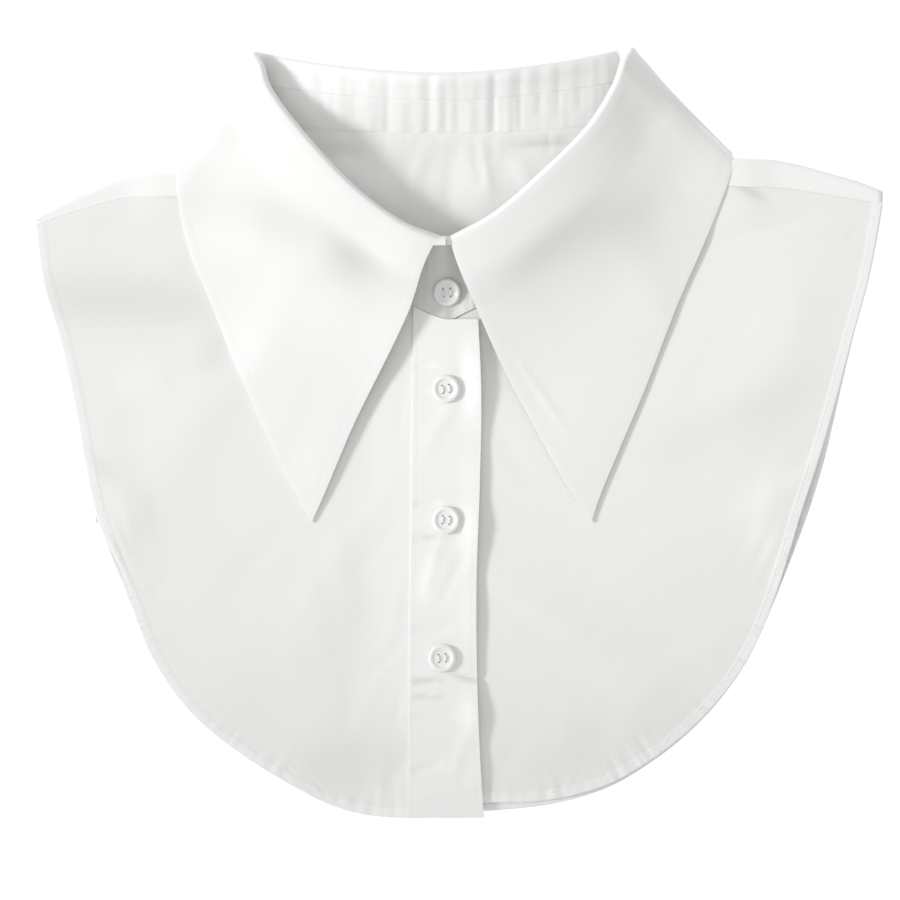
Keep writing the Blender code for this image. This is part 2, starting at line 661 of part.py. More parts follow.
def build_right_front(index, seam, material):
    """Wearer's right front, which lies on top at the centre; also returns its placket rows."""
    shoulder, shoulder_z = front_shoulder(RIGHT_SHOULDER)
    neck = seam[index <= FRONT_NECK_STATION][::-1]
    neck = neck[neck[:, 1] < shoulder[-1, 1] - SHOULDER_CORNER_ROOM]
    towards = unit(np.gradient(neck[:, :2], axis=0))
    away = np.column_stack([towards[:, 1], -towards[:, 0]])
    neck_plan = neck[:, :2] + away * SEAM_GAP
    left_line = smooth_line(PLACKET_LEFT)
    right_line = smooth_line(PLACKET_RIGHT)
    outer = neck_plan[:, 0] < left_line[0, 0] - PLACKET_CORNER_ROOM
    order = np.argsort(neck_plan[:, 0])
    neck_y = np.interp(left_line[0, 0], neck_plan[order, 0], neck_plan[order, 1])
    neck_z = np.interp(left_line[0, 0], neck[order, 0], neck[order, 2])
    left_line[:, 1] += (neck_y - left_line[0, 1]) * np.linspace(1.0, 0.0, len(left_line))
    top = np.vstack([shoulder, neck_plan[outer], left_line[:1]])
    top_z = np.concatenate([shoulder_z, neck[outer, 2], [neck_z]])
    armhole, hem = split_outline(RIGHT_OUTLINE, FRONT_CORNER_Y)
    shares = np.linspace(0.0, 1.0, PANEL_ROWS + 2)
    armhole = np.vstack([shoulder[:1], armhole[1:]])
    plan = ruled_patch(top, hem, armhole, left_line, shares)
    steps = np.linspace(0.0, 1.0, PLACKET_COLUMNS + 1)[1:]
    left_rows = along(left_line, shares)
    right_rows = along(right_line, shares)
    centre = left_rows[None] + (right_rows - left_rows)[None] * steps[:, None, None]
    foot = np.interp(centre[:, 0, 0], neck_plan[order, 0], neck_plan[order, 1])
    centre[..., 1] += (foot - centre[:, 0, 1])[:, None] * (1.0 - shares)[None, :] ** 2
    plan = np.concatenate([plan, centre])
    top_z = np.concatenate([top_z, np.interp(centre[:, 0, 0], neck_plan[order, 0], neck[order, 2])])
    height = front_height(plan, RIGHT_FRONT_FOLDS, over_lap=True)
    grid = np.concatenate([plan, height[..., None]], axis=2)
    ease_to_seam(grid, top_z, FRONT_SEAM_EASE)
    thick_sheet("front_right", grid, PANEL_WALL, material)
    return grid[-(PLACKET_COLUMNS + 1):]


def build_left_front(index, seam, material):
    """Wearer's left front, whose edge runs on under the placket."""
    shoulder, shoulder_z = front_shoulder(LEFT_SHOULDER)
    neck = seam[index[-1] - index <= FRONT_NECK_STATION]
    neck = neck[neck[:, 1] < shoulder[0, 1] - SHOULDER_CORNER_ROOM]
    towards = unit(np.gradient(neck[:, :2], axis=0))
    away = np.column_stack([-towards[:, 1], towards[:, 0]])
    neck_plan = neck[:, :2] + away * SEAM_GAP
    under_lap = np.array([[UNDERLAP_X, neck_plan[-1, 1]], [UNDERLAP_X * 0.6, neck_plan[-1, 1]]])
    top = np.vstack([under_lap, neck_plan[::-1], shoulder])
    top_z = np.concatenate([[neck[-1, 2]] * 2, neck[::-1, 2], shoulder_z])
    armhole, hem = split_outline(LEFT_OUTLINE, FRONT_CORNER_Y)
    armhole = np.vstack([shoulder[-1:], armhole[1:]])
    centre_line = np.array([under_lap[0], LEFT_OUTLINE[-1]])
    shares = np.linspace(0.0, 1.0, PANEL_ROWS + 2)
    plan = ruled_patch(top, hem[::-1], centre_line, armhole, shares)
    height = front_height(plan, LEFT_FRONT_FOLDS, over_lap=False)
    grid = np.concatenate([plan, height[..., None]], axis=2)
    ease_to_seam(grid, top_z, FRONT_SEAM_EASE)
    thick_sheet("front_left", grid, PANEL_WALL, material)


def build_placket(panel_rows, material):
    """The button strip: the panel's own points moved up by one layer."""
    grid = panel_rows.copy()
    grid[..., 2] += PANEL_WALL + LAYER_GAP
    thick_sheet("placket", grid, PANEL_WALL, material)
    return grid


def rings_of(sides, profile):
    """Points of a turned shape, ring by ring, from its profile of radius and height."""
    turns = np.linspace(0.0, 2.0 * np.pi, sides, endpoint=False)
    circle = np.column_stack([np.cos(turns), np.sin(turns), np.zeros(sides)])
    return np.vstack([circle * radius + np.array([0.0, 0.0, height])
                      for radius, height in profile])


def ring_faces(sides, rings, first=0):
    """Faces of a turned shape: both flat ends and the bands between its rings."""
    faces = [tuple(first + side for side in reversed(range(sides)))]
    for ring in range(rings - 1):
        base = first + ring * sides
        for side in range(sides):
            nearby = (side + 1) % sides
            faces.append((base + side, base + nearby,
                          base + sides + nearby, base + sides + side))
    top = first + (rings - 1) * sides
    faces.append(tuple(range(top, top + sides)))
    return faces


def build_button(name, x, y, z, tilt, material):
    """A rimmed button with four thread holes; tilt is its rise in Z per unit of Y."""
    points = rings_of(BUTTON_SIDES, BUTTON_PROFILE)
    faces = ring_faces(BUTTON_SIDES, len(BUTTON_PROFILE))
    button = make_object(name, points, faces, material, 30.0)
    rod = rings_of(HOLE_SIDES, [(BUTTON_HOLE / 2.0, -1.0), (BUTTON_HOLE / 2.0, BUTTON_HEIGHT + 1.0)])
    spread = BUTTON_HOLE_SPREAD / 2.0
    rods = []
    rod_faces = []
    for column in (-spread, spread):
        for row in (-spread, spread):
            rod_faces += ring_faces(HOLE_SIDES, 2, first=len(rods) * len(rod))
            rods.append(rod + np.array([column, row, 0.0]))
    cutter = make_object(name + "_holes", np.vstack(rods), rod_faces, material)
    cutter.hide_render = True
    cutter.display_type = "WIRE"
    cutter.parent = button
    cut = button.modifiers.new("thread holes", "BOOLEAN")
    cut.operation = "DIFFERENCE"
    cut.object = cutter
    button.location = (x * MM, y * MM, z * MM)
    button.rotation_euler = (np.arctan(tilt), 0.0, 0.0)


def surface_at(grid, x, y):
    """Height of a grid at the point nearest to a place."""
    distance = np.linalg.norm(grid[..., :2] - np.array([x, y]), axis=-1)
    weight = 1.0 / (distance + 0.5) ** 4
    return float((grid[..., 2] * weight).sum() / weight.sum())


def build_tape(tape, material):
    """A short end of elastic tape held between front and back at the side."""
    along_x = np.sort(np.linspace(TAPE_SHOWS, TAPE_SHOWS - TAPE_LENGTH, 5) * tape.outward + tape.x)
    along_y = np.linspace(-TAPE_WIDTH / 2.0, TAPE_WIDTH / 2.0, 3) + tape.y
    plan = np.stack(np.meshgrid(along_x, along_y, indexing="ij"), axis=-1)
    height = back_height(plan) + PANEL_WALL / 2.0 + LAYER_GAP + TAPE_WALL / 2.0
    grid = np.concatenate([plan, height[..., None]], axis=2)
    thick_sheet(tape.name, grid, TAPE_WALL, material)


def centre_on_box():
    """Put the middle of the whole part's box over the origin, with its lowest point at zero."""
    view = bpy.context.evaluated_depsgraph_get()
    corners = []
    pieces = [item for item in bpy.data.objects if not item.hide_render]
    for item in pieces:
        solid = item.evaluated_get(view)
        flat = np.empty(len(solid.data.vertices) * 3)
        solid.data.vertices.foreach_get("co", flat)
        turned = flat.reshape(-1, 3) @ np.array(item.matrix_world.to_3x3()).T
        corners.append(turned + np.array(item.matrix_world.translation))
    points = np.vstack(corners)
    low = points.min(axis=0)
    high = points.max(axis=0)
    shift = np.array([-(low[0] + high[0]) / 2.0, -(low[1] + high[1]) / 2.0, -low[2]])
    for item in pieces:
        item.location = np.array(item.location) + shift
    print("moved by", np.round(shift / MM, 3), "size", np.round((high - low) / MM, 2))


def main():
    """Build the collar piece by piece."""
    clear_scene()
    cloth = make_material("cotton_poplin", (0.86, 0.86, 0.85), 0.75)
    resin = make_material("white_button_resin", (0.84, 0.84, 0.83), 0.3)
    elastic = make_material("elastic_tape", (0.8, 0.8, 0.79), 0.8)
    index, seam, fold, edge, bend_height = collar_columns()
    band_rows = build_band(index, seam, fold, cloth)
    build_leaf(index, seam, fold, edge, bend_height, cloth)
    build_back(index, seam, cloth)
    panel_rows = build_right_front(index, seam, cloth)
    build_left_front(index, seam, cloth)
    strip = build_placket(panel_rows, cloth)
    x, y, tilt = BAND_BUTTON
    z = surface_at(band_rows, x, y) + COLLAR_WALL / 2.0 + LAYER_GAP
    build_button("band_button", x, y, z, tilt, resin)
    for number, (x, y) in enumerate(PLACKET_BUTTONS, start=1):
        z = surface_at(strip, x, y) + PANEL_WALL / 2.0 + LAYER_GAP
        build_button(f"button_{number}", x, y, z, 0.0, resin)
    for tape in SIDE_TAPES:
        build_tape(tape, elastic)
    bpy.context.view_layer.update()
    centre_on_box()


main()
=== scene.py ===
# %% [markdown]
# # A detachable shirt collar, buttoned and laid flat
# The object is the top of a white cotton shirt and nothing more: a short front in two halves, a short
# back, and a long pointed collar. It lies on its back on a white table, seen from straight above.
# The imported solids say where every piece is. This scene puts thin cloth, sewing and buttons in their
# place. Each piece is a surface over two parameters, worked out with numpy, so one small set of
# functions makes them all. Lengths are in millimetres until a mesh is written.

from collections import namedtuple

import bpy
import numpy as np
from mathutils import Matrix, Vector


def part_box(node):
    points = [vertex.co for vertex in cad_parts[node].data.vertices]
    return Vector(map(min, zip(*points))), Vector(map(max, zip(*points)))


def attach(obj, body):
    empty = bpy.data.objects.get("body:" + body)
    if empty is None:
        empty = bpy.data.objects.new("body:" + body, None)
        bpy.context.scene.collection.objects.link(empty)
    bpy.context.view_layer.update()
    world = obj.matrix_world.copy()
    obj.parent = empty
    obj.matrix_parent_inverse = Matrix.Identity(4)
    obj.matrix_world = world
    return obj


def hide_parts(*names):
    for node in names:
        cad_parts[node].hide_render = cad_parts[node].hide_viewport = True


MM = 0.001
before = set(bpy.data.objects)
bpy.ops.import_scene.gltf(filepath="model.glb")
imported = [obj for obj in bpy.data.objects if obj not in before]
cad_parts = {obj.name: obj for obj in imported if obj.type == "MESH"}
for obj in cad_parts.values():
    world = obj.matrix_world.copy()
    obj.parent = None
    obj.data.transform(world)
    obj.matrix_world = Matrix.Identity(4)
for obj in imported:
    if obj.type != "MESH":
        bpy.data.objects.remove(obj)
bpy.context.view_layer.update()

# %% [markdown]
# ## The camera
# The garment was laid on a table and seen from straight above, so the camera looks straight down.
# A long lens far away keeps the raised collar from leaning outwards in the picture.

# %% Camera
PICTURE_WIDTH = 374.4
PICTURE_CENTRE = (-3.7, -7.1)
LENS = 500.0
SENSOR = 36.0
camera_data = bpy.data.cameras.new("table_camera")
camera_data.lens = LENS
camera_data.sensor_width = SENSOR
camera_data.clip_end = 50.0
camera = bpy.data.objects.new("table_camera", camera_data)
camera.location = (PICTURE_CENTRE[0] * MM, PICTURE_CENTRE[1] * MM, PICTURE_WIDTH * MM * LENS / SENSOR)
bpy.context.scene.collection.objects.link(camera)
bpy.context.scene.camera = camera
print("camera", round(camera.location.z, 2), "m above the table")

# %% [markdown]
# ## Curves and easing
# Everything below is drawn through a few given points. A Hermite curve passes through each point
# with the slope of its neighbours, which bends like cloth and never overshoots much. It is the same
# curve that shaped the solids, so the cloth lies where they are.

# %% Curves


def smoothstep(values):
    """Ease from 0 to 1: three times the square less twice the cube."""
    held = np.clip(values, 0.0, 1.0)
    return held * held * (3.0 - 2.0 * held)


def curve_through(knots, values, places):
    """Hermite pieces through the values, each slope the weighted mean of its neighbours'."""
    knots = np.asarray(knots, float)
    values = np.asarray(values, float).reshape(len(knots), -1)
    step = np.diff(knots)
    rise = np.diff(values, axis=0) / step[:, None]
    slope = np.empty_like(values)
    slope[0], slope[-1] = rise[0], rise[-1]
    before, after = step[:-1, None], step[1:, None]
    slope[1:-1] = (rise[:-1] * after + rise[1:] * before) / (before + after)
    piece = np.clip(np.searchsorted(knots, places, side="right") - 1, 0, len(step) - 1)
    width = step[piece][:, None]
    part = (places - knots[piece])[:, None] / width
    start = (1.0 + 2.0 * part) * (1.0 - part) ** 2
    leave = part * (1.0 - part) ** 2 * width
    end = part ** 2 * (3.0 - 2.0 * part)
    arrive = part ** 2 * (part - 1.0) * width
    return (start * values[piece] + leave * slope[piece]
            + end * values[piece + 1] + arrive * slope[piece + 1])


def chord_knots(points, power=1.0):
    """Running length along the points, each chord raised to a power."""
    chords = np.linalg.norm(np.diff(points, axis=0), axis=1) ** power
    return np.concatenate([[0.0], np.cumsum(chords)])


def along(points, shares):
    """Points at shares of a line's whole length."""
    knots = chord_knots(points)
    places = np.asarray(shares) * knots[-1]
    return np.stack([np.interp(places, knots, points[:, axis])
                     for axis in range(points.shape[1])], axis=1)


def smooth_line(points, count=400):
    """A smooth line through given points, as many close points."""
    points = np.array(points, float)
    knots = chord_knots(points)
    return curve_through(knots, points, np.linspace(0.0, knots[-1], count))


def unit(vectors):
    """Vectors cut to length one."""
    return vectors / np.linalg.norm(vectors, axis=-1, keepdims=True)


def evened(values, rounds=2):
    """Each row mixed with its neighbours: a quarter, a half and a quarter."""
    for _ in range(rounds):
        padded = np.concatenate([values[:1], values, values[-1:]])
        values = (padded[:-2] + 2.0 * padded[1:-1] + padded[2:]) / 4.0
    return values


def refined(grid, across, down):
    """A grid read at finer places along both of its directions, by smooth pieces over its lengths."""
    for axis, places in ((0, across), (1, down)):
        turned = np.moveaxis(grid, axis, 0)
        chords = np.linalg.norm(np.diff(turned, axis=0), axis=-1).mean(axis=1)
        knots = np.concatenate([[0.0], np.cumsum(chords)])
        at = np.interp(places, np.arange(len(knots)), knots)
        fine = curve_through(knots, turned, at).reshape((len(places),) + turned.shape[1:])
        grid = np.moveaxis(fine, 0, axis)
    return grid


def crowded(last, count, start=0.0, end=0.0, reach=0.07):
    """Places from 0 to last that lie closer together near the ends, by a falling bell at each."""
    even = np.linspace(0.0, 1.0, 600)
    density = 1.0 + start * np.exp(-even / reach) + end * np.exp((even - 1.0) / reach)
    running = np.concatenate([[0.0], np.cumsum((density[1:] + density[:-1]) / 2.0)])
    return np.interp(np.linspace(0.0, running[-1], count), running, even) * last


print("curves ready:", np.round(crowded(10, 6, end=4.0), 2))

# %% [markdown]
# ## Creases and puckers
# Cloth that has been folded, sewn and worn is never flat. The creases are placed one by one, each a bell
# across and fading at its ends, higher than nothing for a ridge and lower for a trough. Sewing
# draws cloth into puckers, and no two are alike, so a few sines of unlike spacing swell and die away.

# %% Relief
Crease = namedtuple("Crease", "x y heading half_length half_width height")


def creases_on(plan, table):
    """Sum over the table of height times a bell across the crease and a flat-topped bell along it."""
    height = np.zeros(plan.shape[:-1])
    for crease in table:
        heading = np.radians(crease.heading)
        offset = plan - np.array([crease.x, crease.y])
        ahead = offset[..., 0] * np.cos(heading) + offset[..., 1] * np.sin(heading)
        aside = offset[..., 1] * np.cos(heading) - offset[..., 0] * np.sin(heading)
        height += crease.height * np.exp(-(aside / crease.half_width) ** 2
                                         - (ahead / crease.half_length) ** 4)
    return height


def uneven_waves(length, spacing, seed):
    """Three sines of unlike spacing along a seam, each under a slower sine, about -1 to 1."""
    chance = np.random.default_rng(seed)
    total = np.zeros_like(length)
    for ratio in (1.0, 0.61, 1.53):
        phase, slow = chance.uniform(0.0, 2.0 * np.pi, 2)
        swell = 0.5 + 0.5 * np.sin(2.0 * np.pi * length / (spacing * ratio * 4.7) + slow)
        total += swell * np.sin(2.0 * np.pi * length / (spacing * ratio) + phase)
    return total / 1.8


def distance_to(plan, line):
    """Distance of every plan point from a line, and how far along the line its foot is."""
    start, end = line[:-1], line[1:]
    run = end - start
    length = np.linalg.norm(run, axis=1)
    knots = chord_knots(line)
    flat = plan.reshape(-1, 2)
    nearest = np.full(len(flat), np.inf)
    foot = np.zeros(len(flat))
    for number in range(len(run)):
        part = np.clip((flat - start[number]) @ run[number] / length[number] ** 2, 0.0, 1.0)
        away = np.linalg.norm(flat - start[number] - part[:, None] * run[number], axis=1)
        closer = away < nearest
        nearest[closer] = away[closer]
        foot[closer] = (knots[number] + part * length[number])[closer]
    return nearest.reshape(plan.shape[:-1]), foot.reshape(plan.shape[:-1])


print("relief ready")

# %% [markdown]
# ## A wall of cloth
# Cloth has two faces and a thin edge. A middle surface is moved half its thickness to each side, and
# a ring of points between the two, pushed out a little, rounds the edge as a turned hem is round.
# The thickness may change over the surface, so a hem or a seam is simply where it is thicker.
# Each wall keeps its own measure of the cloth as a UV map in metres, for the weave to follow, and an
# attribute that says how many layers lie on each other there, because thin white cloth is greyer. The
# same attribute carries painted shade and painted light: patches that darken or whiten the cloth's colour.

# %% Walls


def mean_normals(points, quads):
    """Normal at every point: the sum of the crossed diagonals of the faces round it."""
    corners = points[quads]
    facing = np.cross(corners[:, 2] - corners[:, 0], corners[:, 3] - corners[:, 1])
    normals = np.zeros_like(points)
    for corner in range(4):
        np.add.at(normals, quads[:, corner], facing)
    return unit(normals)


def grid_normals(grid):
    """Normal at every grid point: the cross product of the slopes along its two directions."""
    return unit(np.cross(np.gradient(grid, axis=0), np.gradient(grid, axis=1)))


def grid_quads(present):
    """Faces between neighbours of a grid, where all four points are present."""
    columns, rows = present.shape
    number = np.arange(columns * rows).reshape(columns, rows)
    quads = np.stack([number[:-1, :-1], number[1:, :-1], number[1:, 1:], number[:-1, 1:]], axis=-1)
    return quads[present[:-1, :-1] & present[1:, :-1] & present[1:, 1:] & present[:-1, 1:]]


def open_edges(quads, count):
    """The directed edges that no neighbouring face shares."""
    pairs = np.stack([quads, np.roll(quads, -1, axis=1)], axis=-1).reshape(-1, 2)
    forward = pairs[:, 0] * count + pairs[:, 1]
    backward = pairs[:, 1] * count + pairs[:, 0]
    return pairs[~np.isin(forward, backward)]


def measure_of(grid):
    """The cloth's own two lengths at every grid point, in metres."""
    wide = np.linalg.norm(np.diff(grid, axis=0), axis=-1).mean(axis=1)
    tall = np.linalg.norm(np.diff(grid, axis=1), axis=-1)
    first = np.concatenate([[0.0], np.cumsum(wide)])[:, None] + np.zeros(grid.shape[1])
    second = np.concatenate([np.zeros((len(grid), 1)), np.cumsum(tall, axis=1)], axis=1)
    return np.stack([first, second], axis=-1) * MM


def new_object(name, points, faces, material, uv=None, layers_and_painted_light=None, sharp=60.0):
    """One object from points in millimetres, with the cloth's measure and its layers and painted light if
    it has them.
    """
    mesh = bpy.data.meshes.new(name)
    mesh.from_pydata((np.asarray(points) * MM).tolist(), [], faces)
    mesh.materials.append(material)
    if uv is not None:
        corner = np.empty(len(mesh.loops), np.int32)
        mesh.loops.foreach_get("vertex_index", corner)
        mesh.uv_layers.new(name="cloth").uv.foreach_set("vector", uv[corner].astype(np.float32).ravel())
    if layers_and_painted_light is not None:
        held = mesh.attributes.new("layers_and_painted_light", "FLOAT", "POINT")
        held.data.foreach_set("value", np.asarray(layers_and_painted_light, np.float32))
    mesh.shade_smooth()
    mesh.set_sharp_from_angle(angle=np.radians(sharp))
    item = bpy.data.objects.new(name, mesh)
    bpy.context.scene.collection.objects.link(item)
    return item


def cloth_wall(name, grid, thickness, material, layers_and_painted_light=0.0, present=None, uv=None, round_rim=0.3):
    """A closed wall: the grid moved half its thickness both ways, and a rounded rim between."""
    shape = grid.shape[:2]
    present = np.ones(shape, bool) if present is None else present
    uv = measure_of(grid) if uv is None else uv
    quads = grid_quads(present)
    used = np.unique(quads)
    renumber = np.full(grid.shape[0] * grid.shape[1], -1)
    renumber[used] = np.arange(len(used))
    quads = renumber[quads]
    points = grid.reshape(-1, 3)[used]
    thick = np.broadcast_to(thickness, shape).reshape(-1)[used]
    shade = np.broadcast_to(layers_and_painted_light, shape).reshape(-1)[used]
    round_rim = np.broadcast_to(round_rim, shape).reshape(-1)[used]
    flat_uv = uv.reshape(-1, 2)[used]
    count = len(points)
    normals = mean_normals(points, quads)
    half = normals * thick[:, None] / 2.0
    rim = open_edges(quads, count)
    outward = np.zeros_like(points)
    edge_out = np.cross(points[rim[:, 1]] - points[rim[:, 0]], normals[rim[:, 0]])
    np.add.at(outward, rim[:, 0], edge_out)
    np.add.at(outward, rim[:, 1], edge_out)
    on_rim = np.unique(rim)
    ring = np.full(count, -1)
    ring[on_rim] = 2 * count + np.arange(len(on_rim))
    bulge = points[on_rim] + unit(outward[on_rim]) * (thick * round_rim)[on_rim, None]
    start, end = rim[:, 0], rim[:, 1]
    upper = np.stack([end, start, ring[start], ring[end]], axis=1)
    lower = np.stack([ring[end], ring[start], start + count, end + count], axis=1)
    faces = np.concatenate([quads, quads[:, ::-1] + count, upper, lower]).tolist()
    everywhere = np.vstack([points + half, points - half, bulge])
    return new_object(name, everywhere + SHIFT, faces, material,
                      np.vstack([flat_uv, flat_uv, flat_uv[on_rim]]),
                      np.concatenate([shade, shade, shade[on_rim]]))


print("walls ready")

# %% [markdown]
# ## Colours and nodes
# Colours are picked as sRGB hex values, as in a paint program, and turned to the linear values that
# the renderer wants. One small function adds a node, sets what it is given and joins its sockets.

# %% Colour and node helpers


def linear(hex_colour):
    """An sRGB hex colour as linear red, green, blue and alpha."""
    parts = np.array([int(hex_colour[at:at + 2], 16) for at in (1, 3, 5)]) / 255.0
    bright = np.where(parts <= 0.04045, parts / 12.92, ((parts + 0.055) / 1.055) ** 2.4)
    return (*bright.tolist(), 1.0)


def add(tree, kind, inputs, **settings):
    """A new node with its settings, each input a value or another node's output."""
    node = tree.nodes.new(kind)
    for name, value in settings.items():
        setattr(node, name, value)
    for name, value in inputs.items():
        if isinstance(value, bpy.types.NodeSocket):
            tree.links.new(value, node.inputs[name])
        else:
            node.inputs[name].default_value = value
    return node


def new_material(name, **sockets):
    """A material whose shader has the given socket values, its tree and its shader."""
    material = bpy.data.materials.new(name)
    material.use_nodes = True
    shader = material.node_tree.nodes["Principled BSDF"]
    for socket, value in sockets.items():
        shader.inputs[socket.replace("_", " ")].default_value = value
    return material, material.node_tree, shader


WAVE_STEP = 2.0 * np.pi / 20.0
print("white as linear:", np.round(linear("#F4F4F4"), 3))

# %% [markdown]
# ## Cotton poplin
# Poplin is a fine plain weave of combed cotton, bleached white and pressed. It is matt, with a trace
# of sheen where the light grazes it. One layer lets the dark below through and looks greyer than two,
# so the colour goes from grey-white to white with how many layers are sewn there. The same attribute
# also carries painted shade and painted light, patches placed on each piece, and may go below one
# layer where the painted shade is deepest. The threads are 0.2 mm apart, too fine for the picture, so
# the weave is drawn at 0.5 mm, and shallow, to show from close by.

# %% Poplin
THREAD_SPACING = 0.0005
poplin, tree, shader = new_material("bleached_cotton_poplin", Roughness=0.82, Specular_IOR_Level=0.25,
                                    Sheen_Weight=0.12, Sheen_Roughness=0.45)
cloth_uv = add(tree, "ShaderNodeUVMap", {}, uv_map="cloth").outputs["UV"]
place = add(tree, "ShaderNodeTexCoord", {}).outputs["Object"]
warp = add(tree, "ShaderNodeTexWave", {"Vector": cloth_uv, "Scale": WAVE_STEP / THREAD_SPACING,
                                       "Distortion": 0.6, "Detail": 1.0, "Detail Scale": 0.4},
           bands_direction="X")
weft = add(tree, "ShaderNodeTexWave", {"Vector": cloth_uv, "Scale": WAVE_STEP / THREAD_SPACING,
                                       "Distortion": 0.6, "Detail": 1.0, "Detail Scale": 0.4},
           bands_direction="Y")
weave = add(tree, "ShaderNodeMath", {0: warp.outputs["Fac"], 1: weft.outputs["Fac"]}, operation="ADD")
slub = add(tree, "ShaderNodeTexNoise", {"Vector": place, "Scale": 900.0, "Detail": 3.0})
cloud = add(tree, "ShaderNodeTexNoise", {"Vector": place, "Scale": 28.0, "Detail": 2.0})
fine_bump = add(tree, "ShaderNodeBump", {"Height": weave.outputs[0], "Strength": 0.35,
                                         "Distance": 0.00003})
slub_bump = add(tree, "ShaderNodeBump", {"Height": slub.outputs["Fac"], "Strength": 0.3,
                                         "Distance": 0.00006, "Normal": fine_bump.outputs["Normal"]})
layer_and_painted_light_attribute = add(tree, "ShaderNodeAttribute", {}, attribute_name="layers_and_painted_light", attribute_type="GEOMETRY")
# painted shade and painted light: the layer attribute with its painted patches sets the cloth from
# grey-white to white, unclamped so painted shade can go darker than one layer
layer_and_painted_light_tint = add(tree, "ShaderNodeMix", {"Factor": layer_and_painted_light_attribute.outputs["Fac"], 6: linear("#DFDFDD"),
                                     7: linear("#F9F9F8")}, data_type="RGBA", clamp_factor=False)
soft_cloud = add(tree, "ShaderNodeMath", {0: cloud.outputs["Fac"], 1: 0.14}, operation="MULTIPLY")
mottled = add(tree, "ShaderNodeMix", {"Factor": soft_cloud.outputs[0], 6: layer_and_painted_light_tint.outputs[2],
                                      7: linear("#E3E2E1")}, data_type="RGBA")
tree.links.new(mottled.outputs[2], shader.inputs["Base Color"])
tree.links.new(slub_bump.outputs["Normal"], shader.inputs["Normal"])
print("made", poplin.name)

# %% [markdown]
# ## Sewing thread
# The thread is spun polyester, dyed the same white, with a little more shine than the cloth. Its twist
# shows as slanted ribs, drawn at 0.4 mm where the real ones are nearer 0.25 mm.

# %% Thread
TWIST_SPACING = 0.0004
thread_white, tree, shader = new_material("spun_polyester_thread", Roughness=0.5,
                                          Specular_IOR_Level=0.45, Sheen_Weight=0.1)
place = add(tree, "ShaderNodeTexCoord", {}).outputs["Object"]
twist = add(tree, "ShaderNodeTexWave", {"Vector": place, "Scale": WAVE_STEP / TWIST_SPACING},
            bands_direction="DIAGONAL")
twist_bump = add(tree, "ShaderNodeBump", {"Height": twist.outputs["Fac"], "Strength": 0.5,
                                          "Distance": 0.00004})
tint = add(tree, "ShaderNodeMix", {"Factor": twist.outputs["Fac"], 6: linear("#E9E9EA"),
                                   7: linear("#F8F8F8")}, data_type="RGBA")
tree.links.new(tint.outputs[2], shader.inputs["Base Color"])
tree.links.new(twist_bump.outputs["Normal"], shader.inputs["Normal"])
print("made", thread_white.name)

# %% [markdown]
# ## Button resin
# Shirt buttons are turned from cast polyester rods. They are hard and glossy, with cloudy streaks
# stirred into the resin that give a faint pearl. A thin clear coat stands for the tumbled polish.

# %% Button resin
resin, tree, shader = new_material("cast_polyester_button", Roughness=0.28, Specular_IOR_Level=0.5,
                                   Coat_Weight=0.35, Coat_Roughness=0.12)
shader.inputs["IOR"].default_value = 1.54
place = add(tree, "ShaderNodeTexCoord", {}).outputs["Object"]
streak = add(tree, "ShaderNodeTexNoise", {"Vector": place, "Scale": 260.0, "Detail": 4.0,
                                          "Distortion": 1.2})
pearl = add(tree, "ShaderNodeMix", {"Factor": streak.outputs["Fac"], 6: linear("#E4E4E1"),
                                    7: linear("#F5F5F3")}, data_type="RGBA")
tumbled = add(tree, "ShaderNodeBump", {"Height": streak.outputs["Fac"], "Strength": 0.15,
                                       "Distance": 0.00004})
tree.links.new(pearl.outputs[2], shader.inputs["Base Color"])
tree.links.new(tumbled.outputs["Normal"], shader.inputs["Normal"])
print("made", resin.name)

# %% [markdown]
# ## Elastic tape
# The side tapes are woven elastic: rubber cores under white yarn, which shows as close ribs 0.8 mm
# apart along the tape. It is duller and a little greyer than the cotton.

# %% Elastic
RIB_SPACING = 0.0008
elastic, tree, shader = new_material("woven_elastic_tape", Roughness=0.85, Sheen_Weight=0.15)
cloth_uv = add(tree, "ShaderNodeUVMap", {}, uv_map="cloth").outputs["UV"]
rib = add(tree, "ShaderNodeTexWave", {"Vector": cloth_uv, "Scale": WAVE_STEP / RIB_SPACING},
          bands_direction="Y")
rib_tint = add(tree, "ShaderNodeMix", {"Factor": rib.outputs["Fac"], 6: linear("#CFCFD0"),
                                       7: linear("#ECECEC")}, data_type="RGBA")
rib_bump = add(tree, "ShaderNodeBump", {"Height": rib.outputs["Fac"], "Strength": 0.8,
                                        "Distance": 0.0001})
tree.links.new(rib_tint.outputs[2], shader.inputs["Base Color"])
tree.links.new(rib_bump.outputs["Normal"], shader.inputs["Normal"])
print("made", elastic.name)

# %% [markdown]
# ## The collar as a lying tube
# The collar is a tube that lies on the table and points up the page. A station is one place along
# the neck. It names the neck seam, the fold where the standing part turns over, and the free edge of
# the leaf. The stations run from the wearer's right front round the back to the left front, and a
# curve through them gives as many columns of cloth as needed.

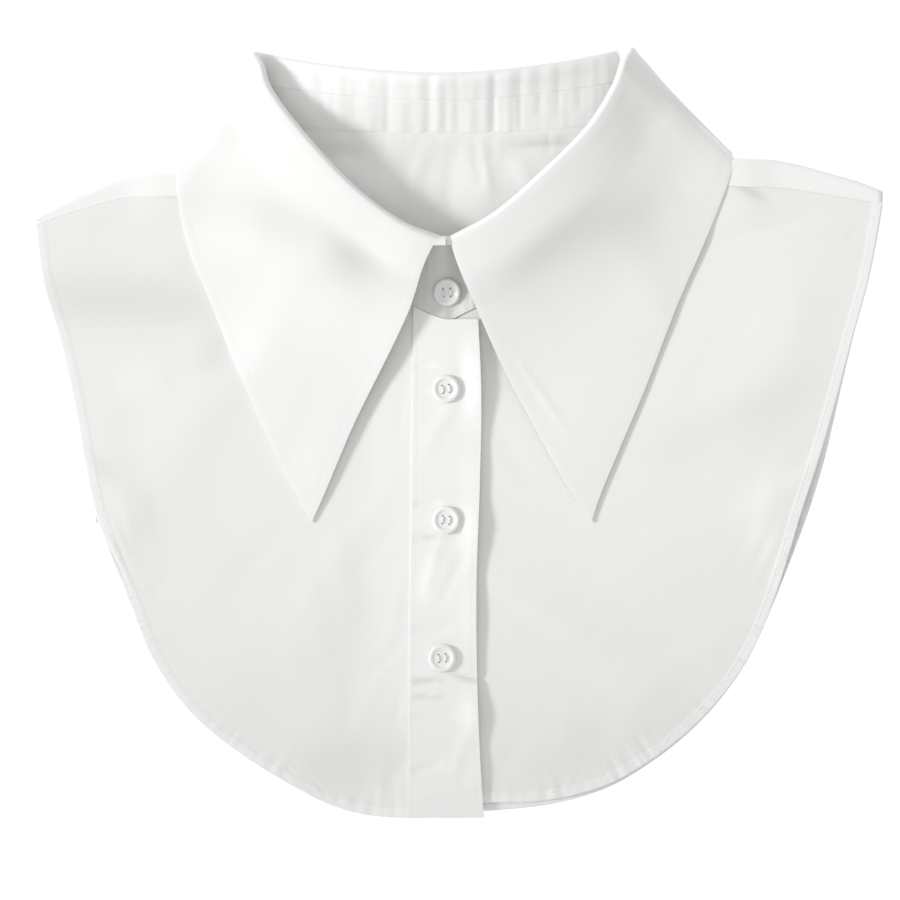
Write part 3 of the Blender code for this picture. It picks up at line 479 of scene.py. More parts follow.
# %% Stations
PANEL_WALL = 1.0
COLLAR_WALL = 1.0
LAYER_GAP = 0.3
SEAM_GAP = 0.04
FOLD_RADIUS = 1.6
Station = namedtuple("Station", "seam fold edge bend_height")
STATIONS = [
    #        seam x, y, z          fold x, y, z           edge x, y, z            bend height
    Station((-8.3, 47.5, 4.6), (-7.9, 82.0, 13.0), (-60.3, -37.0, 7.0), 11.2),
    Station((-27.0, 57.0, 4.6), (-23.7, 88.2, 14.4), (-75.0, -11.6, 6.6), 10.8),
    Station((-59.0, 75.7, 4.8), (-44.1, 103.2, 15.6), (-87.8, 15.8, 6.2), 10.4),
    Station((-81.5, 100.7, 5.2), (-66.1, 126.9, 17.0), (-102.3, 50.8, 6.0), 10.4),
    Station((-89.3, 118.0, 5.4), (-78.2, 143.5, 17.6), (-113.6, 80.9, 6.0), 10.0),
    Station((-89.2, 125.6, 5.5), (-82.2, 153.6, 17.6), (-118.0, 107.2, 6.0), 9.4),
    Station((-91.2, 127.7, 4.0), (-85.2, 158.1, 13.2), (-116.2, 111.6, 3.3), 6.0),
    Station((-88.8, 128.5, 2.6), (-81.2, 158.0, 8.8), (-112.4, 111.8, 0.6), 2.2),
    Station((-78.2, 127.9, 2.8), (-72.8, 156.0, 11.6), (-97.0, 110.6, 0.6), 0.7),
    Station((-56.2, 126.5, 3.0), (-52.0, 152.6, 16.6), (-66.6, 111.5, 0.6), 0.6),
    Station((-32.4, 125.6, 3.2), (-29.1, 150.2, 20.4), (-36.6, 112.7, 0.6), 0.6),
    Station((-7.0, 125.2, 3.3), (-5.4, 149.3, 22.0), (-7.0, 113.2, 0.6), 0.6),
    Station((18.7, 125.6, 3.2), (18.7, 151.0, 20.4), (22.9, 114.0, 0.6), 0.6),
    Station((41.6, 126.9, 3.0), (41.6, 154.2, 16.6), (52.0, 114.8, 0.6), 0.6),
    Station((63.2, 128.9, 2.8), (59.5, 157.9, 11.6), (88.2, 115.8, 0.6), 0.7),
    Station((74.2, 130.0, 2.6), (66.6, 159.6, 8.8), (108.0, 117.3, 0.6), 2.2),
    Station((76.8, 129.1, 4.0), (70.8, 160.3, 13.2), (111.9, 117.1, 3.3), 6.0),
    Station((74.7, 126.8, 5.5), (67.6, 155.4, 17.6), (113.6, 112.6, 6.0), 9.4),
    Station((75.0, 118.8, 5.4), (63.2, 144.6, 17.6), (104.4, 86.0, 6.4), 10.0),
    Station((68.2, 101.5, 5.2), (53.2, 128.4, 17.0), (91.0, 54.9, 6.8), 10.6),
    Station((45.8, 78.2, 4.6), (33.3, 108.4, 15.4), (77.2, 19.1, 7.2), 10.8),
    Station((16.0, 57.6, 3.6), (13.3, 91.4, 13.4), (65.2, -10.0, 7.4), 11.2),
    Station((-3.3, 47.5, 2.9), (-4.2, 82.0, 11.4), (57.0, -37.0, 7.6), 11.2),
]
table = np.array([[*row.seam, *row.fold, *row.edge, row.bend_height] for row in STATIONS])
index = np.arange((len(STATIONS) - 1) * 3 + 1) / 3.0
station_knots = chord_knots(table[:, :9], power=0.5)
drawn = curve_through(station_knots, table, np.interp(index, np.arange(len(STATIONS)), station_knots))
seam, fold, edge, bend_height = drawn[:, 0:3], drawn[:, 3:6], drawn[:, 6:9], drawn[:, 9]
run = unit(np.gradient(fold, axis=0))
lean = unit(fold - seam)
up = unit(lean - run * (lean * run).sum(axis=1, keepdims=True))
outward = unit(evened(np.cross(up, run)))
up = unit(evened(up))
centre = fold - up * (FOLD_RADIUS + COLLAR_WALL / 2.0)
inner_top = centre - outward * FOLD_RADIUS
outer_top = centre + outward * FOLD_RADIUS
stand_length = np.linalg.norm(inner_top - seam, axis=1)
print("neck seam", round(chord_knots(seam)[-1]), "mm; fold", round(chord_knots(fold)[-1]), "mm")

# %% [markdown]
# ## The band and the leaf as coarse grids
# The band is the lower part of the standing cloth, and its ends lap at the front. The leaf starts
# just above it, rolls over in half a turn, and falls to its free edge by way of one soft bend where
# it meets the panels. The roll is a half circle between the two directions that every column has.

# %% Collar grids
LapColumn = namedtuple("LapColumn", "place height")
BAND_SHARE_FRONT = 0.96
BAND_SHARE_BACK = 0.62
BAND_ROWS = 6
BAND_SAG = 4.0
BAND_LAP_LIFT = 0.65
BAND_LAP = [LapColumn(0.1, 1.0), LapColumn(0.6, 1.0), LapColumn(1.1, 0.94),
            LapColumn(1.45, 0.78), LapColumn(1.7, 0.5)]
LEAF_FALL_ROWS = (0.35, 0.7, 1.0, 1.5, 2.0, 2.12, 2.26, 2.42, 2.6, 2.8, 3.0)
from_end = np.minimum(index, index[-1] - index)
band_share = BAND_SHARE_FRONT + (BAND_SHARE_BACK - BAND_SHARE_FRONT) * smoothstep(from_end / 3.0)


def on_stand(share):
    """Points on the straight stand, a share of the way from the seam up to the roll."""
    return seam + (inner_top - seam) * np.reshape(share, (-1, 1))


def lap_end(columns):
    """An end of the band that follows the other end's columns, its corner rounded."""
    places, height = np.array(BAND_LAP).T
    number = np.arange(len(columns))
    foot = np.stack([np.interp(places, number, columns[:, 0, axis]) for axis in range(3)], axis=1)
    head = np.stack([np.interp(places, number, columns[:, 1, axis]) for axis in range(3)], axis=1)
    return np.stack([foot, foot + (head - foot) * height[:, None]], axis=1)


def soft_corner(start, corner, end, softness, shares):
    """A line from start to end by way of a corner rounded as a parabola."""
    first = np.linalg.norm(corner - start, axis=1)[:, None]
    second = np.linalg.norm(end - corner, axis=1)[:, None]
    reach = np.minimum(softness, np.minimum(first, second) * 0.45)
    enter = corner + (start - corner) * reach / first
    leave = corner + (end - corner) * reach / second
    rows = []
    for share in shares:
        part = share - 1.0
        if share < 1.0:
            rows.append(start + (enter - start) * share)
        elif share <= 2.0:
            rows.append(enter * (1 - part) ** 2 + corner * 2 * part * (1 - part) + leave * part ** 2)
        else:
            rows.append(leave + (end - leave) * (share - 2.0))
    return np.stack(rows, axis=1)


body = np.stack([on_stand(SEAM_GAP / stand_length), on_stand(band_share)], axis=1)
lift = (outward * BAND_LAP_LIFT)[:, None]
ends = np.concatenate([lap_end((body + lift)[::-1])[::-1], body, lap_end(body - lift)])
places, cut = np.array(BAND_LAP).T
rows = np.linspace(0.0, 1.0, BAND_ROWS)
band_coarse = ends[:, :1] + (ends[:, 1:] - ends[:, :1]) * rows[None, :, None]
near_end = np.concatenate([places[::-1] / 3.0, from_end, places / 3.0])
share_up = np.concatenate([cut[::-1], np.ones(len(index)), cut])[:, None] * rows
near_front = 1.0 - smoothstep(near_end / 2.0)[:, None]
band_coarse[..., 2] -= BAND_SAG * near_front * 4.0 * share_up * (1.0 - share_up)

leaf_start = band_share + 0.4 * LAYER_GAP / stand_length
rising = [on_stand(leaf_start + (1.0 - leaf_start) * part) for part in (0.0, 0.5)]
roll = [centre + FOLD_RADIUS * (up * np.sin(turn) - outward * np.cos(turn))
        for turn in np.linspace(0.0, np.pi, 7)]
stand_plan = np.linalg.norm((fold - seam)[:, :2], axis=1)
leaf_plan = np.linalg.norm((edge - centre)[:, :2], axis=1)
bend_share = 0.60 + 0.20 * smoothstep((1.0 + outward[:, 2]) / 2.0)
bend = centre + (edge - centre) * (bend_share * stand_plan / leaf_plan)[:, None]
bend[:, 2] = bend_height
fall = soft_corner(outer_top, bend, edge, 7.0, LEAF_FALL_ROWS)
bow = -1.5 * (1.0 - smoothstep(index / 2.6)) + 6.0 * (1.0 - smoothstep((index[-1] - index) / 2.6))
reached = np.linalg.norm((fall - outer_top[:, None])[..., :2], axis=-1)
fall[..., 0] -= bow[:, None] * np.sin(np.pi * reached / reached[:, -1:])
leaf_coarse = np.concatenate([np.stack(rising + roll, axis=1), fall], axis=1)
leaf_coarse[..., 2] = np.maximum(leaf_coarse[..., 2], COLLAR_WALL / 2.0)

low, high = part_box("collar_leaf")
leaf_middle = (leaf_coarse.reshape(-1, 3).min(axis=0) + leaf_coarse.reshape(-1, 3).max(axis=0)) / 2.0
SHIFT = np.array((low + high) / 2.0) / MM - leaf_middle
SHIFT[2] = 0.0
print("the page's own centre lies", np.round(SHIFT, 2), "mm from the frame's")

# %% [markdown]
# ## Collar band
# The band is two layers of poplin with a stiffener between, so it is thicker than the panels. Its colour
# follows its layers and painted light: whiter at the back, where the stand shows inside, and painted shade
# darkens its front ends in the V. Sewing it round a curve draws it into upright gathers, which show inside
# the back of the neck. They are placed where they show, and smaller ones go on round the rest of the band.

# %% Band
Gather = namedtuple("Gather", "x half_width depth foot head")
GATHERS = [
    Gather(-57.0, 2.2, -0.45, 0.3, 1.0), Gather(-49.5, 1.8, 0.5, 0.2, 1.0),
    Gather(-43.0, 1.4, -0.35, 0.4, 1.0), Gather(-37.2, 2.2, 0.45, 0.1, 1.0),
    Gather(-29.6, 1.7, -0.75, 0.1, 1.0), Gather(-24.0, 1.8, 0.4, 0.0, 0.8),
    Gather(-17.5, 1.3, 0.35, 0.4, 1.0), Gather(-12.4, 1.5, -0.7, 0.0, 1.0),
    Gather(-8.6, 1.2, 0.5, 0.2, 1.0), Gather(-5.4, 1.1, -0.5, 0.0, 0.8),
    Gather(-0.4, 1.4, -0.5, 0.1, 1.0), Gather(5.2, 2.2, 0.45, 0.0, 0.7),
    Gather(10.8, 1.6, 0.5, 0.2, 1.0), Gather(14.6, 1.3, -0.95, 0.0, 1.0),
    Gather(20.4, 1.8, 0.6, 0.0, 1.0), Gather(25.4, 1.2, -0.6, 0.2, 1.0),
    Gather(30.2, 1.6, 0.3, 0.5, 1.0), Gather(33.6, 0.9, -0.4, 0.6, 1.0),
    Gather(38.0, 1.9, 0.3, 0.4, 1.0), Gather(41.3, 0.8, -0.35, 0.7, 1.0),
    Gather(46.6, 1.5, 0.25, 0.5, 1.0), Gather(50.2, 1.1, -0.35, 0.6, 1.0),
    Gather(56.0, 2.0, 0.25, 0.6, 1.0),
]
BAND_THICKNESS = 0.9
BAND_POINTS = 25
GATHER_SHARE = 0.5


def gathers_at(x, height):
    """Sum of the gathers: a bell across each in x, kept between its foot and head up the stand."""
    total = np.zeros_like(x)
    for gather in GATHERS:
        window = smoothstep((height - gather.foot + 0.25) / 0.25) * smoothstep(
            (gather.head + 0.25 - height) / 0.25)
        total += gather.depth * np.exp(-((x - gather.x) / gather.half_width) ** 2) * window
    return total


def in_back(columns):
    """One at the back of the neck, easing to nothing before the sides."""
    place = np.minimum(columns, index[-1] - columns)
    return smoothstep((place - 7.3) / 1.2)


band_across = np.linspace(0.0, len(band_coarse) - 1.0, 8 * (len(band_coarse) - 1) + 1)
band_grid = refined(band_coarse, band_across, np.linspace(0.0, BAND_ROWS - 1.0, BAND_POINTS))
band_index = np.clip((band_across - len(BAND_LAP)) / 3.0, 0.0, index[-1])
height_up = np.linspace(0.0, 1.0, BAND_POINTS)[None, :] * BAND_SHARE_BACK
back_weight = in_back(band_index)[:, None]
band_normal = grid_normals(band_grid)
band_length = chord_knots(band_grid[:, BAND_POINTS // 2])
small = 0.16 * uneven_waves(band_length, 6.5, 11)[:, None] * (1.0 - 0.6 * back_weight)
gathered = gathers_at(band_grid[..., 0] + SHIFT[0], height_up / BAND_SHARE_BACK)
bump_out = GATHER_SHARE * back_weight * gathered + small
band_grid = band_grid + band_normal * bump_out[..., None]
from_edge = np.abs(np.linspace(-1.0, 1.0, BAND_POINTS))[None, :]
band_thick = BAND_THICKNESS + 0.12 * np.exp(-((from_edge - 0.86) / 0.06) ** 2)
# painted light: the band is whiter at the back, where the stand shows inside, and painted shade darkens its
# front ends in the V
collar_band = cloth_wall("band_cloth", band_grid, band_thick, poplin, round_rim=0.03,
                         layers_and_painted_light=back_weight)
print("band:", len(collar_band.data.polygons), "faces")

# %% [markdown]
# ## Collar leaf
# The leaf is cut as a long strip with sharp points, two layers of poplin and a fused stiffener. It is
# sewn right sides together, turned, and stitched again 5 mm from its edge, which leaves a shallow
# channel. The stiffener ends short of the fold, and its edge shows as a faint line on both points.
# Its free edges settle until they lie just above the fronts, and its two ends meet over the V.

# %% Leaf
LEAF_THICKNESS = 0.9
TOPSTITCH_INSET = 5.0
EDGE_DROP = 2.0
Settling = namedtuple("Settling", "y right left")
SETTLINGS = [Settling(-38.0, 2.0, 2.4), Settling(0.0, 1.4, 2.2), Settling(55.0, 1.0, 2.0),
             Settling(88.0, 0.7, 0.8), Settling(99.0, 0.2, 0.0), Settling(106.0, 0.0, 0.0)]
INNER_SETTLING = 1.2
RIGHT_EDGE_SHIFT = 3.2
LEFT_POINT_SHIFT = 2.4
VEE_RISE = 1.3
VEE_NOTCH = 2.4
LEFT_NOTCH = 1.2
FOLD_ROW = 14
END_WIDTH = 1.6
LOWEST = 0.5
MEETING_X = -5.9
ROLL_LAST_ROW = 30
LEAF_CREASES = [
    Crease(53.0, 38.0, 3.0, 24.0, 1.3, 0.28),
    Crease(34.0, 16.0, -55.0, 20.0, 1.2, 0.22),
    Crease(-76.0, 41.0, -2.0, 18.0, 1.2, 0.24),
    Crease(-44.0, 68.0, 24.0, 26.0, 9.0, -0.7),
    Crease(58.0, 84.0, 28.0, 34.0, 11.0, -0.8),
    Crease(-84.0, 30.0, 60.0, 20.0, 8.0, 0.4),
    Crease(78.0, 62.0, -62.0, 26.0, 10.0, 0.45),
    Crease(-64.0, 2.0, 70.0, 24.0, 9.0, -0.35),
]
# painted shade and painted light on the leaf: darker patches on its slopes near the V and the roll, and two
# whiter spots near the left point
LEAF_PAINTED_SHADE_AND_LIGHT = [Crease(-60.0, 86.0, -12.0, 46.0, 10.0, -0.35), Crease(-30.0, 76.0, 10.0, 24.0, 17.0, -1.0),
               Crease(44.0, 82.0, 14.0, 44.0, 16.0, -0.6),
               Crease(-96.0, 84.0, 0.0, 12.0, 12.0, 0.2), Crease(-84.0, 48.0, 60.0, 26.0, 14.0, 0.2)]
leaf_across = np.linspace(0.0, len(leaf_coarse) - 1.0, 6 * (len(leaf_coarse) - 1) + 1)
leaf_down = np.concatenate([np.linspace(0.0, 8.0, 29), np.linspace(8.0, 17.4, 34)[1:],
                            np.linspace(17.4, 19.0, 16)[1:]])
leaf_grid = refined(leaf_coarse, leaf_across, leaf_down)
leaf_index = leaf_across / 3.0
leaf_normal = grid_normals(leaf_grid)
on_face = smoothstep((leaf_down - 10.0) / 2.0)[None, :]
in_front = 1.0 - smoothstep((np.minimum(leaf_index, index[-1] - leaf_index) - 5.0) / 1.0)[:, None]
relief = creases_on(leaf_grid[..., :2], LEAF_CREASES) * on_face * in_front
rising_rows = 1.0 - smoothstep((leaf_down - 2.0) / 3.0)[None, :]
leaf_height = BAND_SHARE_BACK + (1.0 - BAND_SHARE_BACK) * np.minimum(leaf_down / 2.0, 1.0)[None, :]
relief += GATHER_SHARE * in_back(leaf_index)[:, None] * gathers_at(
    leaf_grid[..., 0] + SHIFT[0], leaf_height * np.ones((len(leaf_index), 1))) * rising_rows
roll_line = chord_knots(leaf_grid[:, FOLD_ROW])
relief += 0.10 * uneven_waves(roll_line, 9.0, 5)[:, None] * rising_rows
leaf_grid = leaf_grid + leaf_normal * relief[..., None]
at_right = 1.0 - smoothstep(leaf_index / END_WIDTH)[:, None]
at_left = 1.0 - smoothstep((index[-1] - leaf_index) / END_WIDTH)[:, None]
on_right = leaf_index[:, None] < index[-1] / 2.0
along_leaf = leaf_grid[..., 1]
leaf_grid[..., 2] -= EDGE_DROP * smoothstep((leaf_down - 11.0) / 6.0)[None, :] * in_front
settled_y, settled_right, settled_left = np.array([tuple(row) for row in SETTLINGS]).T
let_down = np.where(on_right, np.interp(along_leaf, settled_y, settled_right),
                    np.interp(along_leaf, settled_y, settled_left))
let_down += INNER_SETTLING * (at_right + 0.5 * at_left) * (1.0 - smoothstep((leaf_down - 15.5) / 3.0))
leaf_grid[..., 2] -= let_down * smoothstep((leaf_down - 10.0) / 6.0)[None, :] * in_front
clear_of_point = 1.0 - 0.55 * smoothstep((leaf_down - 16.5) / 2.5)[None, :]
leaf_grid[..., 0] -= (RIGHT_EDGE_SHIFT * at_right * smoothstep((66.0 - along_leaf) / 66.0) * clear_of_point
                      + LEFT_POINT_SHIFT * at_left * smoothstep((10.0 - along_leaf) / 40.0))
over_vee = smoothstep((leaf_down - 5.0) / 3.0) * (1.0 - smoothstep((leaf_down - 12.5) / 5.0))
leaf_grid[..., 2] += VEE_RISE * (at_right + at_left) * over_vee
leaf_grid[..., 0] -= (VEE_NOTCH * at_right + LEFT_NOTCH * at_left) * np.exp(-((leaf_down - 9.4) / 2.4) ** 2)
leaf_grid[..., 2] = np.maximum(leaf_grid[..., 2], LOWEST)
edge_row = np.cumsum(np.linalg.norm(np.diff(leaf_grid[:, ::-1], axis=1), axis=-1), axis=1)
from_free_edge = np.concatenate([np.zeros((len(leaf_grid), 1)), edge_row], axis=1)[:, ::-1]
front_edge = np.cumsum(np.linalg.norm(np.diff(leaf_grid, axis=0), axis=-1), axis=0)
from_right_point = np.concatenate([np.zeros((1, leaf_grid.shape[1])), front_edge])
from_left_point = from_right_point[-1:] - from_right_point
from_edge = np.minimum(np.minimum(from_right_point, from_left_point), from_free_edge)
channel = np.exp(-((from_edge - TOPSTITCH_INSET) / 0.9) ** 2)
leaf_thick = LEAF_THICKNESS - 0.15 * np.exp(-(from_edge / 0.7) ** 2) - 0.05 * channel


def to_meeting(column, side):
    """Columns that carry an end of the roll on, level, until it almost meets the other end."""
    shares = np.array([1.0, 0.75, 0.5, 0.25])[:, None]
    added = np.repeat(column[None], len(shares), axis=0)
    added[..., 0] += (MEETING_X + side * 0.05 - column[:, 0]) * shares
    return added if side < 0 else added[::-1]


wide_grid = np.concatenate([to_meeting(leaf_grid[0], -1.0), leaf_grid, to_meeting(leaf_grid[-1], 1.0)])
added = (len(wide_grid) - len(leaf_grid)) // 2
wide_thick = np.pad(leaf_thick, ((added, added), (0, 0)), mode="edge")
in_leaf = np.ones(wide_grid.shape[:2], bool)
in_leaf[:added, ROLL_LAST_ROW:] = in_leaf[-added:, ROLL_LAST_ROW:] = False
leaf_rim = np.full(wide_grid.shape[:2], 0.12)
leaf_rim[:, 0] = leaf_rim[:added, :ROLL_LAST_ROW] = leaf_rim[-added:, :ROLL_LAST_ROW] = 0.03
# painted light: the rising rows at the back are whiter where the stand shows inside, and the leaf's painted
# shade and light patches are added
leaf_layers_and_painted_light = (0.5 + 0.5 * in_back(leaf_index)[:, None] * rising_rows
              + creases_on(leaf_grid[..., :2], LEAF_PAINTED_SHADE_AND_LIGHT) * on_face * in_front)
collar_leaf = cloth_wall("leaf_cloth", wide_grid, wide_thick, poplin, present=in_leaf,
                         round_rim=leaf_rim,
                         layers_and_painted_light=np.pad(leaf_layers_and_painted_light, ((added, added), (0, 0)), mode="edge"))
print("leaf:", len(collar_leaf.data.polygons), "faces")

# %% [markdown]
# ## Outlines and shoulders
# The panels are drawn by their edges: the shoulder line, then armhole and hem in one run. The back
# turns over each shoulder as a narrow strip and is sewn down on the front.

# %% Panel outlines
ShoulderPoint = namedtuple("ShoulderPoint", "x y strip")
RIGHT_SHOULDER = [
    ShoulderPoint(-176.4, 89.8, 3.5), ShoulderPoint(-165.0, 95.8, 5.0),
    ShoulderPoint(-154.3, 100.4, 6.5), ShoulderPoint(-138.9, 106.2, 8.0),
    ShoulderPoint(-124.0, 107.8, 9.0), ShoulderPoint(-115.5, 108.8, 9.4),
    ShoulderPoint(-105.0, 116.0, 9.6), ShoulderPoint(-90.4, 126.6, 9.0),
]
LEFT_SHOULDER = [
    ShoulderPoint(76.0, 128.0, 9.0), ShoulderPoint(94.0, 120.8, 10.0),
    ShoulderPoint(109.5, 114.2, 10.8), ShoulderPoint(126.5, 114.0, 11.4),
    ShoulderPoint(136.0, 112.6, 10.4), ShoulderPoint(149.3, 109.0, 9.0),
    ShoulderPoint(162.0, 105.6, 7.6), ShoulderPoint(175.6, 100.6, 5.0),
]
RIGHT_OUTLINE = [(-176.4, 85.0), (-173.0, 62.0), (-166.8, 41.0), (-160.5, 14.0), (-156.0, -11.0),
                 (-151.5, -32.0), (-144.5, -52.0), (-136.0, -73.0), (-127.5, -94.0),
                 (-112.7, -115.0), (-87.0, -136.0), (-70.5, -146.0), (-50.0, -155.8),
                 (-34.0, -159.2), (-21.6, -159.7)]
LEFT_OUTLINE = [(175.6, 95.4), (173.9, 85.0), (169.3, 62.0), (163.5, 41.0), (156.3, 14.0),
                (149.0, -11.0), (142.0, -32.0), (136.0, -52.0), (129.0, -73.0), (119.4, -94.0),
                (103.6, -115.0), (79.5, -135.6), (62.0, -145.6), (37.4, -152.2), (10.0, -153.4),
                (-19.0, -154.0)]
BACK_OUTLINE = [(-176.4, 89.8), (-172.5, 62.0), (-166.0, 41.0), (-159.6, 14.0), (-155.0, -11.0),
                (-150.5, -32.0), (-143.5, -52.0), (-135.0, -73.0), (-126.5, -94.0),
                (-111.7, -114.2), (-86.2, -135.2), (-50.0, -153.6), (-15.0, -156.8),
                (20.0, -156.2), (40.0, -153.6), (63.0, -146.4), (79.5, -136.6), (103.4, -116.0),
                (119.2, -94.6), (129.0, -73.6), (137.6, -52.0), (145.0, -32.0), (151.4, -11.0),
                (157.2, 14.0), (163.6, 41.0), (169.0, 62.0), (175.6, 100.6)]
PLACKET_LEFT = [(-19.4, 47.5), (-19.8, -8.0), (-20.6, -70.0), (-21.6, -159.7)]
PLACKET_RIGHT = [(7.6, 47.5), (8.8, 18.0), (8.2, -22.0), (6.9, -60.0), (6.9, -90.0),
                 (7.8, -123.0), (9.8, -159.7)]
FRONT_CORNER_Y = -73.0
SHOULDER_ROUND = 1.2
TURN_STEPS = (0.0, 0.45, 1.6)
UNDERLAP_X = -19.0
LIFT_REACH = 28.0
LIFT_RAMP = 20.0
SIDE_TAPES = {"right": (-151.2, -33.5, -1.0), "left": (141.6, -33.5, 1.0)}
RIGHT_FOLDS = [
    Crease(-140.0, 72.0, 2.0, 48.0, 12.0, 2.6), Crease(-118.0, -8.0, 62.0, 46.0, 15.0, 2.0),
    Crease(-84.0, -92.0, 38.0, 40.0, 16.0, 1.8), Crease(-50.0, -60.0, 66.0, 48.0, 10.0, 1.4),
    Crease(-44.0, -132.0, 12.0, 22.0, 12.0, 1.2),
]
LEFT_FOLDS = [
    Crease(134.0, 82.0, -14.0, 44.0, 11.0, 2.2), Crease(128.0, 28.0, 66.0, 46.0, 18.0, 2.4),
    Crease(104.0, -40.0, 20.0, 46.0, 15.0, 1.8), Crease(52.0, -88.0, -34.0, 46.0, 13.0, 2.0),
    Crease(88.0, -104.0, 22.0, 32.0, 12.0, 1.4),
]
SOFT = 0.36
BACK_FOLDS = [Crease(9.0, 111.0, -72.0, 17.0, 2.6, 0.8), Crease(-34.0, 106.0, 58.0, 22.0, 6.0, 1.2)]


def shoulder_arrays(rows):
    """Shoulder edge points, evenly drawn, and the width of the strip that shows in front."""
    rows = np.array([tuple(row) for row in rows])
    knots = chord_knots(rows[:, :2])
    line = curve_through(knots, rows, np.linspace(0.0, knots[-1], 10))
    return line[:, :2], line[:, 2]


def ruled_patch(top, bottom, left, right, shares_down):
    """A plan grid blended between four edge lines: both pairs ruled, less the four corners."""
    knots = chord_knots(top)
    across = (knots / knots[-1])[:, None, None]
    down = np.asarray(shares_down)[None, :, None]
    foot = along(bottom, across[:, 0, 0])[:, None]
    corners = ((1 - across) * (1 - down) * top[0] + across * (1 - down) * top[-1]
               + (1 - across) * down * bottom[0] + across * down * bottom[-1])
    return ((1 - down) * top[:, None] + down * foot + (1 - across) * along(left, shares_down)[None]
            + across * along(right, shares_down)[None] - corners)


def back_height(plan):
    """Middle of the back panel: on the table, and lifted where the leaf lies under it."""
    under = np.array([row.edge for row in STATIONS if row.edge[2] < 1.0])
    inward = smoothstep((plan[..., 1] - np.interp(plan[..., 0], under[:, 0], under[:, 1])
                         + LIFT_REACH) / LIFT_RAMP)
    right_side = smoothstep((plan[..., 0] - (under[0, 0] - LIFT_REACH)) / LIFT_RAMP)
    left_side = smoothstep((under[-1, 0] + LIFT_REACH - plan[..., 0]) / LIFT_RAMP)
    return PANEL_WALL / 2.0 + (COLLAR_WALL + LAYER_GAP) * inward * right_side * left_side


def front_height(plan, folds, over_lap):
    """Middle of a front panel: a layer above the back, with its folds, the tapes and the lap."""
    height = back_height(plan) + PANEL_WALL + LAYER_GAP + 0.1 + SOFT * creases_on(plan, folds)
    for x, y, _ in SIDE_TAPES.values():
        distance = np.linalg.norm(plan - np.array([x, y]), axis=-1)
        height += 1.1 * (1.0 - smoothstep((distance - 12.0) / 15.0))
    if over_lap:
        lap = smoothstep((plan[..., 0] + 35.0) / 13.0)
        height += lap * (PANEL_WALL + LAYER_GAP + SOFT * creases_on(plan, LEFT_FOLDS))
    return height


def ease_to_seam(grid, seam_heights, reach):
    """Bend a panel's first rows up or down to the height of the seam that holds them."""
    away = np.linalg.norm(grid[..., :2] - grid[:, :1, :2], axis=-1)
    grid[..., 2] += (seam_heights - grid[:, 0, 2])[:, None] * (1.0 - smoothstep(away / reach))


def turn_rise(step):
    """Height of the turned edge above or below its middle, a step in from the edge."""
    return np.sqrt(SHOULDER_ROUND ** 2 - np.clip(SHOULDER_ROUND - step, 0.0, None) ** 2)


print("outlines:", len(RIGHT_OUTLINE), len(LEFT_OUTLINE), len(BACK_OUTLINE), "points")

# %% [markdown]
# ## Hems
# Every raw edge is turned twice and stitched, 3.8 mm wide. The bottom hem had to be eased round its
# curve, so it is puckered, most of all where the curve is tightest. A hem is three layers: it is
# thicker and whiter, and a groove marks its stitches.

# %% Hem rule
HEM_WIDTH = 3.8
PANEL_THICKNESS = 0.5


def hem_on(plan, outline, width, pucker, seed, spacing=5.2):
    """Thickness, whiteness and pucker height near a hemmed edge, from the distance to it."""
    away, foot = distance_to(plan, smooth_line(outline, 160))
    inside = smoothstep((width + 0.4 - away) / 0.8)
    groove = np.exp(-((away - width + 0.9) / 0.55) ** 2)
    thickness = 0.35 * inside - 0.12 * groove
    fade = np.exp(-(away / (2.4 * width)) ** 2)
    return thickness, inside, pucker(foot) * uneven_waves(foot, spacing, seed) * fade


print("hems:", HEM_WIDTH, "mm wide")

# %% [markdown]
# ## Back panel
# The back is one flat piece on the table. Its neck edge is gathered into the band, with one pleat
# and two hollows under the seam that show through the neck opening.

# %% Back panel
BACK_CREASES = [
    Crease(10.0, 113.0, -80.0, 13.0, 1.6, 0.5),
    Crease(6.8, 114.0, -82.0, 11.0, 1.3, -0.5),
    Crease(-51.0, 117.0, -8.0, 9.0, 3.0, -1.3),
    Crease(34.0, 121.0, 4.0, 14.0, 2.2, -1.2),
    Crease(-18.0, 108.0, 70.0, 14.0, 3.0, 0.5),
    Crease(-4.0, 104.0, 86.0, 16.0, 3.5, -0.4),
    Crease(30.0, 102.0, -60.0, 16.0, 4.0, 0.5),
    Crease(-60.0, 20.0, 30.0, 50.0, 12.0, 0.5),
    Crease(70.0, -20.0, -40.0, 50.0, 14.0, 0.5),
]
# painted shade and painted light on the back: dark marks under the neck seam and by the pleat, and a whiter
# band along the left of the neck opening
BACK_PAINTED_SHADE_AND_LIGHT = [
    Crease(35.0, 121.0, 4.0, 12.0, 1.8, -0.9),
    Crease(-50.0, 104.0, -48.0, 36.0, 13.0, 0.55),
    Crease(-57.0, 116.0, -10.0, 9.0, 2.6, -0.5),
    Crease(7.5, 115.0, -84.0, 11.0, 1.4, -0.5),
]
neck = seam[from_end >= 7.0]
neck_plan = neck[:, :2] - np.array([0.0, SEAM_GAP])
right_edge, right_strip = shoulder_arrays(RIGHT_SHOULDER)
left_edge, left_strip = shoulder_arrays(LEFT_SHOULDER)
top = np.vstack([right_edge, neck_plan, left_edge])
count = len(right_edge)
outline = smooth_line(BACK_OUTLINE)
right_corner = int(np.argmin(np.abs(outline[:200, 1] - FRONT_CORNER_Y)))
left_corner = 200 + int(np.argmin(np.abs(outline[200:, 1] - FRONT_CORNER_Y)))
later = np.linspace(0.08, 1.0, 16) ** 1.3
plan = ruled_patch(top, outline[right_corner:left_corner + 1], outline[:right_corner + 1],
                   outline[:left_corner - 1:-1], np.concatenate([[0.0, 0.004, 0.012], later]))
for row, step in enumerate(TURN_STEPS):
    plan[:, row] = top - np.array([0.0, step])
